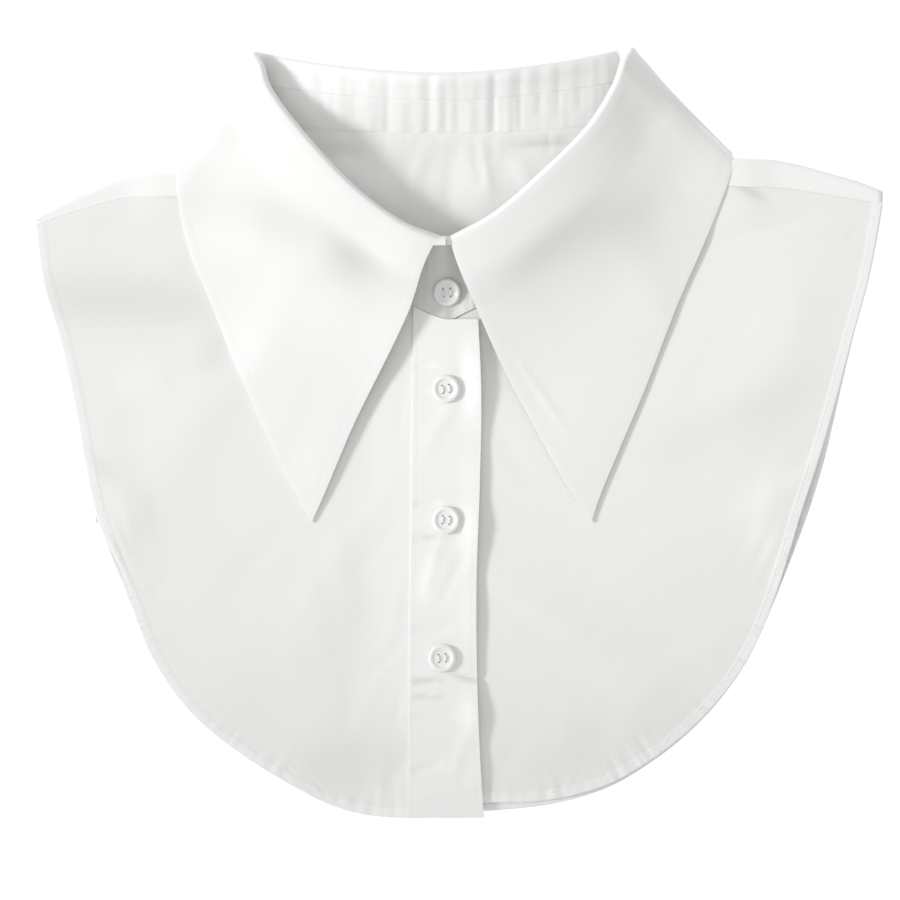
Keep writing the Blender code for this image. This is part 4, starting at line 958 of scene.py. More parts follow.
height = back_height(plan) + creases_on(plan, BACK_FOLDS)
on_shoulder = np.ones(len(top), bool)
on_shoulder[count:-count] = False
middle = back_height(top) + SHOULDER_ROUND
for row, step in enumerate(TURN_STEPS):
    height[on_shoulder, row] = middle[on_shoulder] - turn_rise(step)
main = np.concatenate([plan, height[..., None]], axis=2)
ease_to_seam(main[count:-count], neck[:, 2], 12.0)
strip = np.zeros(len(top))
strip[:count], strip[-count:] = right_strip, left_strip
turn = [np.full(len(top), step) for step in TURN_STEPS[:0:-1]]
over = [np.column_stack([top[:, 0], top[:, 1] - step, middle + turn_rise(step)])
        for step in [strip, strip * 0.55] + turn]
back_coarse = np.concatenate([np.stack(over, axis=1), main], axis=1)
strip_rows = len(over)

across = np.unique(np.concatenate([np.linspace(0, count - 1, 46), np.linspace(count - 1, count, 3),
                                   np.linspace(count, len(top) - count - 1, 130),
                                   np.linspace(len(top) - count - 1, len(top) - count, 3),
                                   np.linspace(len(top) - count, len(top) - 1, 46)]))
down = np.concatenate([np.linspace(0, strip_rows + 3, 28)[:-1],
                       strip_rows + 3 + crowded(15.0, 110, start=2.0, end=6.0)])
back_grid = refined(back_coarse, across, down)
flat_plan = back_grid[..., :2]
thick, white, pucker = hem_on(flat_plan, BACK_OUTLINE, HEM_WIDTH,
                              lambda foot: 0.22 * np.ones_like(foot), 21)
is_main = smoothstep((down - strip_rows - 1.5) / 1.5)[None, :]
away_from_rim = smoothstep((down[-1] - down) / 0.9)[None, :]
neck_gather = np.exp(-((back_grid[..., 1] - 124.5) / 7.0) ** 2) * smoothstep(
    (72.0 - np.abs(back_grid[..., 0] + 7.0)) / 12.0)
relief = (creases_on(flat_plan, BACK_CREASES) + pucker * away_from_rim
          + 0.30 * neck_gather * uneven_waves(back_grid[..., 0], 7.5, 31)) * is_main
back_grid[..., 2] += relief
present = np.ones(back_grid.shape[:2], bool)
present[(across > count - 0.99) & (across < len(top) - count - 0.01)] &= down >= strip_rows - 1e-9
on_strip = 1.0 - smoothstep((down - strip_rows + 1.0) / 1.0)[None, :] * np.ones((len(across), 1))
stitched = np.exp(-((down - 0.35) / 0.22) ** 2)[None, :]
back_thick = PANEL_THICKNESS + thick * is_main + (0.3 - 0.1 * stitched) * on_strip
back_grid[..., 2] = np.maximum(back_grid[..., 2], back_thick / 2.0 + 0.02)
back_panel = cloth_wall("back_cloth", back_grid, back_thick, poplin,
                        layers_and_painted_light=0.4 + np.maximum(white * is_main * 0.2, on_strip * 0.3)
                        + creases_on(flat_plan, BACK_PAINTED_SHADE_AND_LIGHT) * is_main, present=present)
print("back:", len(back_panel.data.polygons), "faces")

# %% [markdown]
# ## Fronts
# Each front is blended between its four edges and lies on the back, with its large folds. On top of
# those come the finer creases of the photograph: the hollow below the ridge at the armhole, the pulls
# beside the placket, the dark wedge under the left shoulder and the puckers of the hem. The hollow, the
# wedge, the bottom of each front and a few other patches are also darkened with painted shade in the
# cloth's colour, and a few spots are whitened with painted light.

# %% Fronts
RIGHT_CREASES = [
    Crease(-128.0, 62.0, 3.0, 42.0, 5.0, -0.9), Crease(-112.7, 24.0, 15.0, 9.0, 2.0, -0.45),
    Crease(-147.7, 5.4, 70.0, 10.0, 7.0, 0.55), Crease(-145.6, -15.0, 50.0, 8.0, 5.0, -0.6),
    Crease(-129.0, 21.6, 10.0, 9.0, 6.0, 0.35), Crease(-101.0, 14.0, 40.0, 22.0, 7.0, 0.45),
    Crease(-123.5, -61.8, 60.0, 9.0, 4.0, -0.5), Crease(-103.0, -60.0, 62.0, 14.0, 5.0, 0.45),
    Crease(-81.0, -48.0, 45.0, 12.0, 3.5, -0.6), Crease(-60.0, -62.0, 58.0, 16.0, 4.0, 0.5),
    Crease(-41.0, -38.0, 52.0, 18.0, 3.2, 0.55), Crease(-36.0, -50.0, 48.0, 14.0, 2.6, -0.5),
    Crease(-29.5, -92.5, 44.0, 11.0, 1.5, -0.75), Crease(-27.0, -74.0, 80.0, 14.0, 2.6, 0.5),
    Crease(-46.0, -110.0, 84.0, 15.0, 3.2, -0.6), Crease(-37.0, -112.0, 70.0, 14.0, 3.4, 0.5),
    Crease(-25.5, -114.0, 78.0, 7.0, 2.2, -0.6), Crease(-49.0, -137.0, 20.0, 12.0, 6.0, -0.8),
    Crease(-26.5, -141.0, 60.0, 8.0, 3.5, -0.9), Crease(-33.0, -148.0, 88.0, 7.0, 1.8, 0.6),
    Crease(-62.0, -122.0, 40.0, 16.0, 5.0, 0.45), Crease(-24.5, 8.0, 84.0, 12.0, 2.2, -0.4),
]
LEFT_CREASES = [
    Crease(121.5, 101.5, -30.0, 9.0, 2.0, -1.2), Crease(125.0, 84.5, 12.0, 20.0, 3.4, -1.0),
    Crease(122.7, 92.5, 6.0, 12.0, 2.4, 0.5), Crease(165.0, 83.0, 20.0, 5.0, 3.0, -0.5),
    Crease(121.5, 6.0, 22.0, 34.0, 8.0, -1.3), Crease(92.0, 26.0, 64.0, 20.0, 6.0, 0.4),
    Crease(66.0, -30.0, 40.0, 26.0, 8.0, 0.4), Crease(22.0, -8.0, -60.0, 16.0, 3.5, -0.5),
    Crease(18.0, -62.0, -20.0, 9.0, 3.0, 0.5), Crease(36.0, -84.0, -32.0, 24.0, 3.2, -0.9),
    Crease(29.0, -104.0, 10.0, 14.0, 5.0, 0.45), Crease(118.0, -88.0, 30.0, 12.0, 4.0, -0.7),
    Crease(86.0, -88.0, 8.0, 30.0, 4.5, -0.7), Crease(60.0, -122.0, 70.0, 16.0, 7.0, -0.8),
    Crease(44.0, -118.0, 84.0, 14.0, 4.0, 0.4), Crease(22.0, -132.0, 60.0, 12.0, 4.0, -0.8),
    Crease(76.0, -122.0, 30.0, 18.0, 4.0, 0.4), Crease(17.0, -42.0, -5.0, 6.0, 1.6, -0.5),
    Crease(140.0, 44.0, 80.0, 20.0, 8.0, 0.5), Crease(136.0, -24.0, 26.0, 18.0, 5.0, 0.4),
]
# painted shade and painted light on the fronts: the dark band below the armhole ridge, the shoulder marks,
# darker patches low on each front, and a few small whiter spots
RIGHT_PAINTED_SHADE_AND_LIGHT = [Crease(-138.0, 55.0, -2.0, 40.0, 11.0, -0.42), Crease(-101.0, 36.0, 60.0, 12.0, 6.0, -0.3),
                Crease(-122.0, 102.0, -60.0, 6.0, 1.6, -0.5), Crease(-44.0, -136.0, 8.0, 26.0, 13.0, -0.3),
                Crease(-134.0, 22.0, 10.0, 10.0, 9.0, 0.15), Crease(-142.0, -14.0, 40.0, 9.0, 6.0, -0.15)]
LEFT_PAINTED_SHADE = [Crease(121.0, 6.0, 22.0, 40.0, 12.0, -0.2), Crease(119.5, 101.5, -28.0, 9.0, 2.2, -0.5),
               Crease(60.0, -128.0, 24.0, 40.0, 14.0, -0.2)]
EdgeWave = namedtuple("EdgeWave", "y half_length height")
EDGE_WAVES = [EdgeWave(21.0, 14.0, 2.1), EdgeWave(-16.0, 8.0, 0.5), EdgeWave(-40.0, 12.0, 1.7),
              EdgeWave(-76.0, 13.0, 0.7), EdgeWave(-117.0, 9.0, 1.6), EdgeWave(-141.0, 8.0, 0.5)]
PULLS = [
    Crease(-16.0, 28.0, 4.0, 5.0, 1.2, -0.55), Crease(4.0, 25.0, -12.0, 6.0, 1.1, -0.4),
    Crease(-14.0, -29.5, 6.0, 6.0, 1.3, -0.6), Crease(-14.5, -44.5, 4.0, 6.0, 1.5, -0.7),
    Crease(3.0, -42.0, -10.0, 6.0, 1.3, -0.5), Crease(-3.0, -60.0, 62.0, 12.0, 3.0, -0.35),
    Crease(-11.5, -56.0, 74.0, 12.0, 2.6, 0.35), Crease(-12.0, -82.0, 3.0, 8.0, 2.2, -0.45),
    Crease(-14.6, -103.4, 3.0, 4.6, 1.0, -0.9), Crease(2.2, -100.8, -15.0, 6.4, 1.2, -0.95),
    Crease(-15.5, -109.5, 8.0, 4.0, 1.2, -0.5), Crease(-11.0, -118.0, 5.0, 9.0, 2.4, -0.4),
    Crease(-14.0, -139.0, 12.0, 6.0, 2.0, -0.6), Crease(0.0, -134.0, 70.0, 10.0, 3.0, 0.3),
    Crease(-6.0, -149.0, 4.0, 12.0, 2.6, 0.35), Crease(-8.0, 4.0, 60.0, 13.0, 3.4, 0.3),
]


def edge_waves(plan):
    """How far the placket's free edge stands off, a bell down the edge and a ramp towards it."""
    line = smooth_line(PLACKET_RIGHT)
    edge_x = np.interp(-plan[..., 1], -line[:, 1], line[:, 0])
    towards_edge = smoothstep((plan[..., 0] - edge_x + 11.0) / 11.0) ** 1.5
    waves = np.zeros(plan.shape[:-1])
    for wave in EDGE_WAVES:
        waves += wave.height * np.exp(-((plan[..., 1] - wave.y) / wave.half_length) ** 2)
    return waves * towards_edge


def front_shoulder(rows):
    """Top line of a front panel under its shoulder strip, and its height."""
    line, width = shoulder_arrays(rows)
    under = line - np.column_stack([np.zeros(len(line)), width + LAYER_GAP])
    return under, back_height(line) + 2.0 * SHOULDER_ROUND


def split_outline(points):
    """Part a smooth outline at the corner height into its armhole and its hem."""
    line = smooth_line(points)
    corner = int(np.argmin(np.abs(line[:200, 1] - FRONT_CORNER_Y)))
    return line[:corner + 1], line[corner:]


shoulder, shoulder_z = front_shoulder(RIGHT_SHOULDER)
neck = seam[index <= 4.0][::-1]
neck = neck[neck[:, 1] < shoulder[-1, 1] - 2.0]
towards = unit(np.gradient(neck[:, :2], axis=0))
neck_plan = neck[:, :2] + np.column_stack([towards[:, 1], -towards[:, 0]]) * SEAM_GAP
left_line, right_line = smooth_line(PLACKET_LEFT), smooth_line(PLACKET_RIGHT)
outer = neck_plan[:, 0] < left_line[0, 0] - 3.0
order = np.argsort(neck_plan[:, 0])
neck_y = np.interp(left_line[0, 0], neck_plan[order, 0], neck_plan[order, 1])
neck_z = np.interp(left_line[0, 0], neck[order, 0], neck[order, 2])
left_line[:, 1] += (neck_y - left_line[0, 1]) * np.linspace(1.0, 0.0, len(left_line))
top = np.vstack([shoulder, neck_plan[outer], left_line[:1]])
top_z = np.concatenate([shoulder_z, neck[outer, 2], [neck_z]])
armhole, hem = split_outline(RIGHT_OUTLINE)
shares = np.linspace(0.0, 1.0, 18)
plan = ruled_patch(top, hem, np.vstack([shoulder[:1], armhole[1:]]), left_line, shares)
left_rows, right_rows = along(left_line, shares), along(right_line, shares)
steps = np.linspace(0.0, 1.0, 5)[1:]
centre_part = left_rows[None] + (right_rows - left_rows)[None] * steps[:, None, None]
foot = np.interp(centre_part[:, 0, 0], neck_plan[order, 0], neck_plan[order, 1])
centre_part[..., 1] += (foot - centre_part[:, 0, 1])[:, None] * (1.0 - shares)[None, :] ** 2
plan = np.concatenate([plan, centre_part])
top_z = np.concatenate([top_z, np.interp(centre_part[:, 0, 0], neck_plan[order, 0], neck[order, 2])])
height = front_height(plan, RIGHT_FOLDS, over_lap=True)
right_coarse = np.concatenate([plan, height[..., None]], axis=2)
ease_to_seam(right_coarse, top_z, 26.0)
panel_columns = len(right_coarse) - 5

front_down = crowded(17.0, 150, start=2.0, end=5.0)
across = np.concatenate([crowded(panel_columns, 110, start=3.0, end=1.0)[:-1],
                         panel_columns + np.linspace(0.0, 4.0, 30)])
right_grid = refined(right_coarse, across, front_down)
flat_plan = right_grid[..., :2]


def hem_strength(foot):
    """Pucker height along the outline, in millimetres: least at the armhole, most at the bottom."""
    return 0.10 + 0.34 * smoothstep((foot - 190.0) / 90.0)


thick, white, pucker = hem_on(flat_plan, RIGHT_OUTLINE, HEM_WIDTH, hem_strength, 41)
right_grid[..., 2] += SOFT * creases_on(flat_plan, RIGHT_CREASES) + pucker + edge_waves(flat_plan)
right_front = cloth_wall("right_front_cloth", right_grid, PANEL_THICKNESS + thick, poplin,
                         layers_and_painted_light=0.4 + white * 0.2 + creases_on(flat_plan, RIGHT_PAINTED_SHADE_AND_LIGHT), uv=flat_plan * MM)
print("right front:", len(right_front.data.polygons), "faces")

# %% [markdown]
# The left front is the same recipe mirrored, and its edge runs on under the placket.

# %% Left front
shoulder, shoulder_z = front_shoulder(LEFT_SHOULDER)
neck = seam[index[-1] - index <= 4.0]
neck = neck[neck[:, 1] < shoulder[0, 1] - 2.0]
towards = unit(np.gradient(neck[:, :2], axis=0))
neck_plan = neck[:, :2] + np.column_stack([-towards[:, 1], towards[:, 0]]) * SEAM_GAP
under_lap = np.array([[UNDERLAP_X, neck_plan[-1, 1]], [UNDERLAP_X * 0.6, neck_plan[-1, 1]]])
top = np.vstack([under_lap, neck_plan[::-1], shoulder])
top_z = np.concatenate([[neck[-1, 2]] * 2, neck[::-1, 2], shoulder_z])
armhole, hem = split_outline(LEFT_OUTLINE)
plan = ruled_patch(top, hem[::-1], np.array([under_lap[0], LEFT_OUTLINE[-1]]),
                   np.vstack([shoulder[-1:], armhole[1:]]), shares)
height = front_height(plan, LEFT_FOLDS, over_lap=False)
left_coarse = np.concatenate([plan, height[..., None]], axis=2)
ease_to_seam(left_coarse, top_z, 26.0)
across = crowded(len(left_coarse) - 1.0, 140, start=1.0, end=3.0)
left_grid = refined(left_coarse, across, front_down)
flat_plan = left_grid[..., :2]
thick, white, pucker = hem_on(flat_plan, LEFT_OUTLINE, HEM_WIDTH, hem_strength, 43)
left_grid[..., 2] += SOFT * creases_on(flat_plan, LEFT_CREASES) + pucker
left_front = cloth_wall("left_front_cloth", left_grid, PANEL_THICKNESS + thick, poplin,
                        layers_and_painted_light=0.4 + white * 0.2 + creases_on(flat_plan, LEFT_PAINTED_SHADE), uv=flat_plan * MM)
print("left front:", len(left_front.data.polygons), "faces")

# %% [markdown]
# ## Placket
# The placket is a folded strip sewn down both sides of the right front's edge, four layers thick. It
# is made from the panel's own points, moved out, and bends down to the panel along both edges. Each
# button pulls it into short level creases.

# %% Placket
PLACKET_THICKNESS = 0.8
PLACKET_LIFT = 0.68
PLACKET_UNIT = 7.0
SEAM_OFFSET = 1.9
HEM_Y = -159.7
HEM_TURNING = 7.2
placket_coarse = right_coarse[panel_columns:]
placket_down = crowded(17.0, 260, start=0.5, end=1.0)
placket_across = crowded(4.0, 70, start=2.5, end=2.5, reach=0.12)
placket_grid = refined(placket_coarse, placket_across, placket_down)
flat_plan = placket_grid[..., :2]
from_sides = np.minimum(placket_across, 4.0 - placket_across)[:, None] * PLACKET_UNIT
_, _, pucker = hem_on(flat_plan, RIGHT_OUTLINE, HEM_WIDTH, hem_strength, 41)
hem_step = smoothstep((HEM_TURNING - (flat_plan[..., 1] - HEM_Y)) / 0.8)
placket_grid[..., 2] += (SOFT * creases_on(flat_plan, RIGHT_CREASES) + pucker + edge_waves(flat_plan)
                         + PLACKET_LIFT + creases_on(flat_plan, PULLS))
seam_groove = np.exp(-((from_sides - SEAM_OFFSET) / 0.5) ** 2)
placket_thick = PLACKET_THICKNESS + 0.25 * hem_step - 0.06 * seam_groove
# painted shade and painted light on the placket: dark level marks beside the buttons and one whiter patch
PLACKET_PAINTED_SHADE_AND_LIGHT = [Crease(-13.0, -102.8, 0.0, 6.0, 1.5, -0.6), Crease(-13.0, -109.6, 0.0, 6.0, 1.3, -0.5),
                  Crease(3.5, -101.8, -12.0, 5.0, 1.7, -0.6), Crease(-11.0, -43.5, 0.0, 6.0, 1.6, -0.35),
                  Crease(-12.0, -62.0, 70.0, 10.0, 5.0, 0.3)]
placket = cloth_wall("placket_cloth", placket_grid, placket_thick, poplin,
                     layers_and_painted_light=0.6 + creases_on(flat_plan, PLACKET_PAINTED_SHADE_AND_LIGHT), uv=flat_plan * MM, round_rim=0.03)
print("placket:", len(placket.data.polygons), "faces")

# %% [markdown]
# ## Buttons
# Each button is turned: a round rim, a step down, and a sunk face with four holes. The section is
# carried round a circle, and a Boolean takes out the holes. Two bars of thread join the holes in
# pairs, and a wound shank of thread holds the button off the cloth.

# %% Buttons
BUTTON_SIDES = 96
ProfilePoint = namedtuple("ProfilePoint", "radius height")
BUTTON_PROFILE = [
    ProfilePoint(4.5, 0.0), ProfilePoint(5.2, 0.12), ProfilePoint(5.6, 0.4), ProfilePoint(5.75, 0.8),
    ProfilePoint(5.75, 1.1), ProfilePoint(5.66, 1.38), ProfilePoint(5.45, 1.62),
    ProfilePoint(5.1, 1.78), ProfilePoint(4.7, 1.83), ProfilePoint(4.3, 1.78),
    ProfilePoint(4.0, 1.64), ProfilePoint(3.8, 1.48), ProfilePoint(3.55, 1.36),
    ProfilePoint(3.1, 1.3), ProfilePoint(1.6, 1.26), ProfilePoint(0.4, 1.25),
]
HOLE_SPREAD = 2.9
HOLE_SIZE = 0.95


def turned(profile, sides):
    """Rings of points: each profile point carried round a circle."""
    turns = np.linspace(0.0, 2.0 * np.pi, sides, endpoint=False)
    circle = np.stack([np.cos(turns), np.sin(turns), np.zeros(sides)], axis=-1)
    profile = np.array(profile, float)
    rings = circle[None] * profile[:, :1, None]
    rings[..., 2] = profile[:, 1:]
    return rings


def ring_faces(rings, sides):
    """Quads between rings and a flat face at each end."""
    base = np.arange((rings - 1) * sides).reshape(rings - 1, sides)
    nearby = np.roll(base, -1, axis=1)
    quads = np.stack([base, nearby, nearby + sides, base + sides], axis=-1).reshape(-1, 4).tolist()
    last = (rings - 1) * sides
    return quads + [list(range(sides))[::-1], list(range(last, last + sides))]


def tube(path, radius, sides=8):
    """A closed tube: a circle carried along a path, square to it, with pinched ends."""
    path = np.asarray(path, float)
    run = unit(np.gradient(path, axis=0))
    side = unit(np.cross(run, np.array([0.31, 0.17, 0.93])))
    other = np.cross(side, run)
    turns = np.linspace(0.0, 2.0 * np.pi, sides, endpoint=False)
    reach = np.full(len(path), radius)
    reach[[0, -1]] *= 0.45
    ring = (side[:, None] * np.cos(turns)[None, :, None]
            + other[:, None] * np.sin(turns)[None, :, None]) * reach[:, None, None]
    return (path[:, None] + ring)[:, ::-1].reshape(-1, 3), ring_faces(len(path), sides)


def joined(parts):
    """Several point and face lists as one."""
    points, faces, base = [], [], 0
    for part, part_faces in parts:
        points.append(part)
        faces += [[number + base for number in face] for face in part_faces]
        base += len(part)
    return np.vstack(points), faces


def tilted(points, tilt):
    """Points leaned back about X, by the rise in Z for each unit of Y."""
    angle = np.arctan(tilt)
    turn = np.array([[1.0, 0.0, 0.0], [0.0, np.cos(angle), -np.sin(angle)],
                     [0.0, np.sin(angle), np.cos(angle)]])
    return points @ turn.T


def make_button(node, spin, tilt=0.0, sink=0.0):
    """A turned button with four holes and thread at the frame's one, leaned back by tilt, sink lower."""
    low, high = (np.array(corner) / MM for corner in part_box(node))
    foot = np.array([(low[0] + high[0]) / 2.0, (low[1] + high[1]) / 2.0, low[2]])
    foot[2] += abs(np.sin(np.arctan(tilt))) * BUTTON_PROFILE[0].radius - sink
    turn = np.radians(spin)
    spun = np.array([[np.cos(turn), -np.sin(turn), 0.0], [np.sin(turn), np.cos(turn), 0.0],
                     [0.0, 0.0, 1.0]])
    rings = turned(BUTTON_PROFILE, BUTTON_SIDES)
    button = new_object(node + "_turned", tilted(rings.reshape(-1, 3), tilt) + foot,
                        ring_faces(len(BUTTON_PROFILE), BUTTON_SIDES), resin, sharp=40.0)
    half = HOLE_SPREAD / 2.0
    spots = np.array([(x, y, 0.0) for x in (-half, half) for y in (-half, half)]) @ spun.T
    rod = turned([(HOLE_SIZE / 2.0, -1.0), (HOLE_SIZE / 2.0, 4.0)], 20).reshape(-1, 3)
    rods = joined([(tilted(rod + spot, tilt) + foot, ring_faces(2, 20)) for spot in spots])
    cutter = new_object(node + "_holes", *rods, resin)
    cut = button.modifiers.new("holes", "BOOLEAN")
    cut.object = cutter
    bpy.context.view_layer.objects.active = button
    bpy.ops.object.modifier_apply(modifier="holes")
    bpy.data.objects.remove(cutter)
    button.data.shade_smooth()
    button.data.set_sharp_from_angle(angle=np.radians(40.0))
    strands = []
    for column in (-1.0, 1.0):
        for lane in (-0.27, 0.0, 0.27):
            across_hole = column * half + lane
            arch = np.linspace(-1.0, 1.0, 15)
            rise = 1.22 + 0.5 * (1.0 - np.abs(arch) ** 5) + 0.08 * np.cos(7.0 * lane)
            path = np.column_stack([across_hole - lane * 0.5 * np.abs(arch), arch * half * 1.04, rise])
            path[[0, -1], 2] -= 0.8
            strands.append((tilted(path @ spun.T, tilt) + foot, 0.2))
    coil = np.linspace(0.0, 2.0 * np.pi * 4.0, 60)
    shank = np.column_stack([np.cos(coil) * 0.75, np.sin(coil) * 0.75, -0.15 + coil * 0.006])
    strands.append((tilted(shank, tilt) + foot, 0.16))
    thread = new_object(node + "_thread", *joined([tube(path, size) for path, size in strands]),
                        thread_white, sharp=80.0)
    return button, thread


buttons = {}
for node, spin, tilt, sink in (("button_1", 8.0, 0.0, 0.9), ("button_2", -4.0, 0.0, 0.9),
                               ("button_3", 5.0, 0.0, 0.9), ("band_button", 3.0, 0.09, 1.7)):
    buttons[node] = make_button(node, spin, tilt, sink)
print("buttons:", len(buttons), "each", len(buttons["button_1"][0].data.polygons), "faces")

# %% [markdown]
# ## Side tapes
# A narrow elastic joins front and back at each side under the arm. Only its end shows, so only its
# end is made: a short flat strip between the two panels.

# %% Side tapes
tapes = {}
for side, (x, y, towards_arm) in SIDE_TAPES.items():
    along_x = np.sort(np.linspace(0.2, -11.8, 40) * towards_arm + x)
    along_y = np.linspace(-3.5, 3.5, 22) + y
    plan = np.stack(np.meshgrid(along_x, along_y, indexing="ij"), axis=-1)
    height = back_height(plan) + PANEL_WALL / 2.0 + LAYER_GAP + 0.4
    ribs = 0.06 * np.cos(2.0 * np.pi * (plan[..., 1] - y) / 0.9)
    grid = np.concatenate([plan, height[..., None]], axis=2)
    tapes[side] = cloth_wall("side_tape_" + side + "_elastic", grid, 0.65 + ribs, elastic)
print("tapes:", list(tapes))

# %% [markdown]
# ## Stitches
# A machine stitch shows as a row of short threads, each dipping into the cloth at both ends. One
# stitch is a small lens of thread. It is copied along a path as one joined mesh: the path gives each
# copy its place, its direction and the side that faces out.

# %% Stitch rows
STITCH_PITCH = 2.6
STITCH_LENGTH = 2.0
THREAD_RADIUS = 0.08
STITCH_SIDES = 6
STITCH_RINGS = np.array([-1.0, -0.8, -0.35, 0.35, 0.8, 1.0])


def stitch_row(path, normals, pitch=STITCH_PITCH, length=STITCH_LENGTH, radius=THREAD_RADIUS):
    """Lens-shaped stitches along a path: a circle whose radius and height fall off to the ends."""
    knots = chord_knots(path)
    places = np.arange(pitch / 2.0, knots[-1] - pitch / 2.0, pitch)
    if len(places) == 0:
        return np.zeros((0, 3)), []
    at = np.stack([np.interp(places, knots, path[:, axis]) for axis in range(3)], axis=1)
    ahead = np.stack([np.interp(places + 0.3, knots, path[:, axis]) for axis in range(3)], axis=1)
    face = unit(np.stack([np.interp(places, knots, normals[:, axis]) for axis in range(3)], axis=1))
    forward = unit(ahead - at)
    side = unit(np.cross(face, forward))
    turns = np.linspace(0.0, 2.0 * np.pi, STITCH_SIDES, endpoint=False)
    size = radius * np.sqrt(np.clip(1.02 - STITCH_RINGS ** 2, 0.04, 1.0))
    ring_side = size[:, None] * np.cos(turns)
    ring_up = size[:, None] * np.sin(turns) + (0.25 * radius - 0.9 * radius * STITCH_RINGS ** 2)[:, None]
    points = (at[:, None, None] + forward[:, None, None] * (STITCH_RINGS * length / 2.0)[:, None, None]
              + side[:, None, None] * ring_side[..., None] + face[:, None, None] * ring_up[..., None])
    one = ring_faces(len(STITCH_RINGS), STITCH_SIDES)
    each = len(STITCH_RINGS) * STITCH_SIDES
    quads = np.array([face for face in one if len(face) == 4])
    caps = np.array([face for face in one if len(face) != 4])
    starts = np.arange(len(places))[:, None, None] * each
    faces = (quads[None] + starts).reshape(-1, 4).tolist() + (caps[None] + starts).reshape(
        -1, STITCH_SIDES).tolist()
    return points.reshape(-1, 3), faces


def visible_face(grid, thickness, side):
    """The outer face of a wall and its normals: "up" or "down" turns every normal that way."""
    normals = grid_normals(grid)
    if side != "grid":
        wanted = 1.0 if side == "up" else -1.0
        normals = normals * np.where(normals[..., 2:] * wanted < 0.0, -1.0, 1.0)
    return grid + normals * (np.broadcast_to(thickness, grid.shape[:2]) / 2.0)[..., None], normals


def read_face(grid, thickness, across, down, side="grid", flip=1.0):
    """Points on a wall's face at fractional grid places, weighed between the four around each."""
    face, normals = visible_face(grid, np.asarray(thickness) * flip, side)
    across = np.clip(across, 0, grid.shape[0] - 1.001)
    down = np.clip(down, 0, grid.shape[1] - 1.001)
    i, j = across.astype(int), down.astype(int)
    s, t = (across - i)[:, None], (down - j)[:, None]
    points, facing = [(1 - s) * (1 - t) * field[i, j] + s * (1 - t) * field[i + 1, j]
                      + (1 - s) * t * field[i, j + 1] + s * t * field[i + 1, j + 1]
                      for field in (face, normals)]
    return points + SHIFT, facing * flip


def set_on(grid, thickness, plan_points, side="up"):
    """Plan points raised to a wall's face: the nearest grid point's own slope gives the height."""
    face, normals = visible_face(grid, thickness, side)
    face, normals = face.reshape(-1, 3), normals.reshape(-1, 3)
    apart = ((face[None, :, :2] - plan_points[:, None]) ** 2).sum(axis=-1)
    near = apart.argmin(axis=1)
    offset = plan_points - face[near, :2]
    drop = (normals[near, :2] * offset).sum(axis=1) / normals[near, 2]
    return np.column_stack([plan_points, face[near, 2] - drop]) + SHIFT, normals[near]


def inside_of(outline, distance, middle, trim=4):
    """A line at a set distance inside an outline: each point moved square to the line."""
    line = smooth_line(outline, 260)
    run = unit(np.gradient(line, axis=0))
    inward = np.column_stack([-run[:, 1], run[:, 0]])
    turn = np.sign(((np.asarray(middle) - line) * inward).sum(axis=1).mean())
    return (line + inward * turn * distance)[trim:len(line) - trim]


def passes(distance, wanted):
    """For each row of a rising distance, the fractional place where it passes a value."""
    first = np.clip(np.argmax(distance >= wanted, axis=1), 1, None)
    number = np.arange(len(distance))
    low, high = distance[number, first - 1], distance[number, first]
    return first - 1 + (wanted - low) / np.maximum(high - low, 1e-6)


def sew(name, lines, **size):
    """One joined piece of thread from stitch rows along all the lines."""
    parts = [stitch_row(path, face, **size) for path, face in lines]
    item = new_object(name, *joined([part for part in parts if len(part[0])]), thread_white, sharp=80.0)
    print(name, len(item.data.polygons), "faces")
    return item


# %% [markdown]
# The leaf is stitched 5 mm inside its three free edges. The distances that shaped its channel say
# where each column or row of the cloth crosses that line.

# %% Leaf stitches
leaf_columns = np.arange(len(leaf_grid), dtype=float)
leaf_rows = np.arange(leaf_grid.shape[1], dtype=float)
LAST_COLUMN, LAST_ROW = leaf_columns[-1], leaf_rows[-1]
FIRST_FALL_ROW = 31
edge_down = LAST_ROW - passes(from_free_edge[:, ::-1], TOPSTITCH_INSET)
near_row = edge_down.round().astype(int)
whole = np.arange(len(leaf_grid))
between = (from_right_point[whole, near_row] > TOPSTITCH_INSET) & (
    from_left_point[whole, near_row] > TOPSTITCH_INSET)
right_across = passes(from_right_point.T, TOPSTITCH_INSET)
left_across = LAST_COLUMN - passes(from_left_point[::-1].T, TOPSTITCH_INSET)
above_point = (leaf_rows >= FIRST_FALL_ROW) & (from_free_edge[3] > TOPSTITCH_INSET)
leaf_thread = sew("leaf_stitches", [
    read_face(leaf_grid, leaf_thick, leaf_columns[between], edge_down[between]),
    read_face(leaf_grid, leaf_thick, right_across[above_point], leaf_rows[above_point]),
    read_face(leaf_grid, leaf_thick, left_across[above_point], leaf_rows[above_point]),
])

# %% [markdown]
# The band has one row of stitches along each of its seams, inside and outside. Inside, the upper row
# is pulled up into the roll, and shows only at the right end of the back.

# %% Band stitches
band_columns = np.arange(len(band_grid), dtype=float)
LOWER_SEAM_ROW, UPPER_SEAM_ROW = 1.7, 22.3
INNER_FACE, OUTER_FACE = 1.0, -1.0
SEAM_SHOWS_FROM = 30.0
shown = band_columns[(band_grid[:, 12, 0] > SEAM_SHOWS_FROM) & (back_weight[:, 0] > 0.5)]
band_lines = [read_face(band_grid, band_thick, columns, np.full(len(columns), row), flip=flip)
              for columns, row, flip in ((band_columns, LOWER_SEAM_ROW, INNER_FACE),
                                         (band_columns, LOWER_SEAM_ROW, OUTER_FACE),
                                         (band_columns, UPPER_SEAM_ROW, OUTER_FACE),
                                         (shown, UPPER_SEAM_ROW, INNER_FACE))]
band_thread = sew("band_stitches", band_lines)

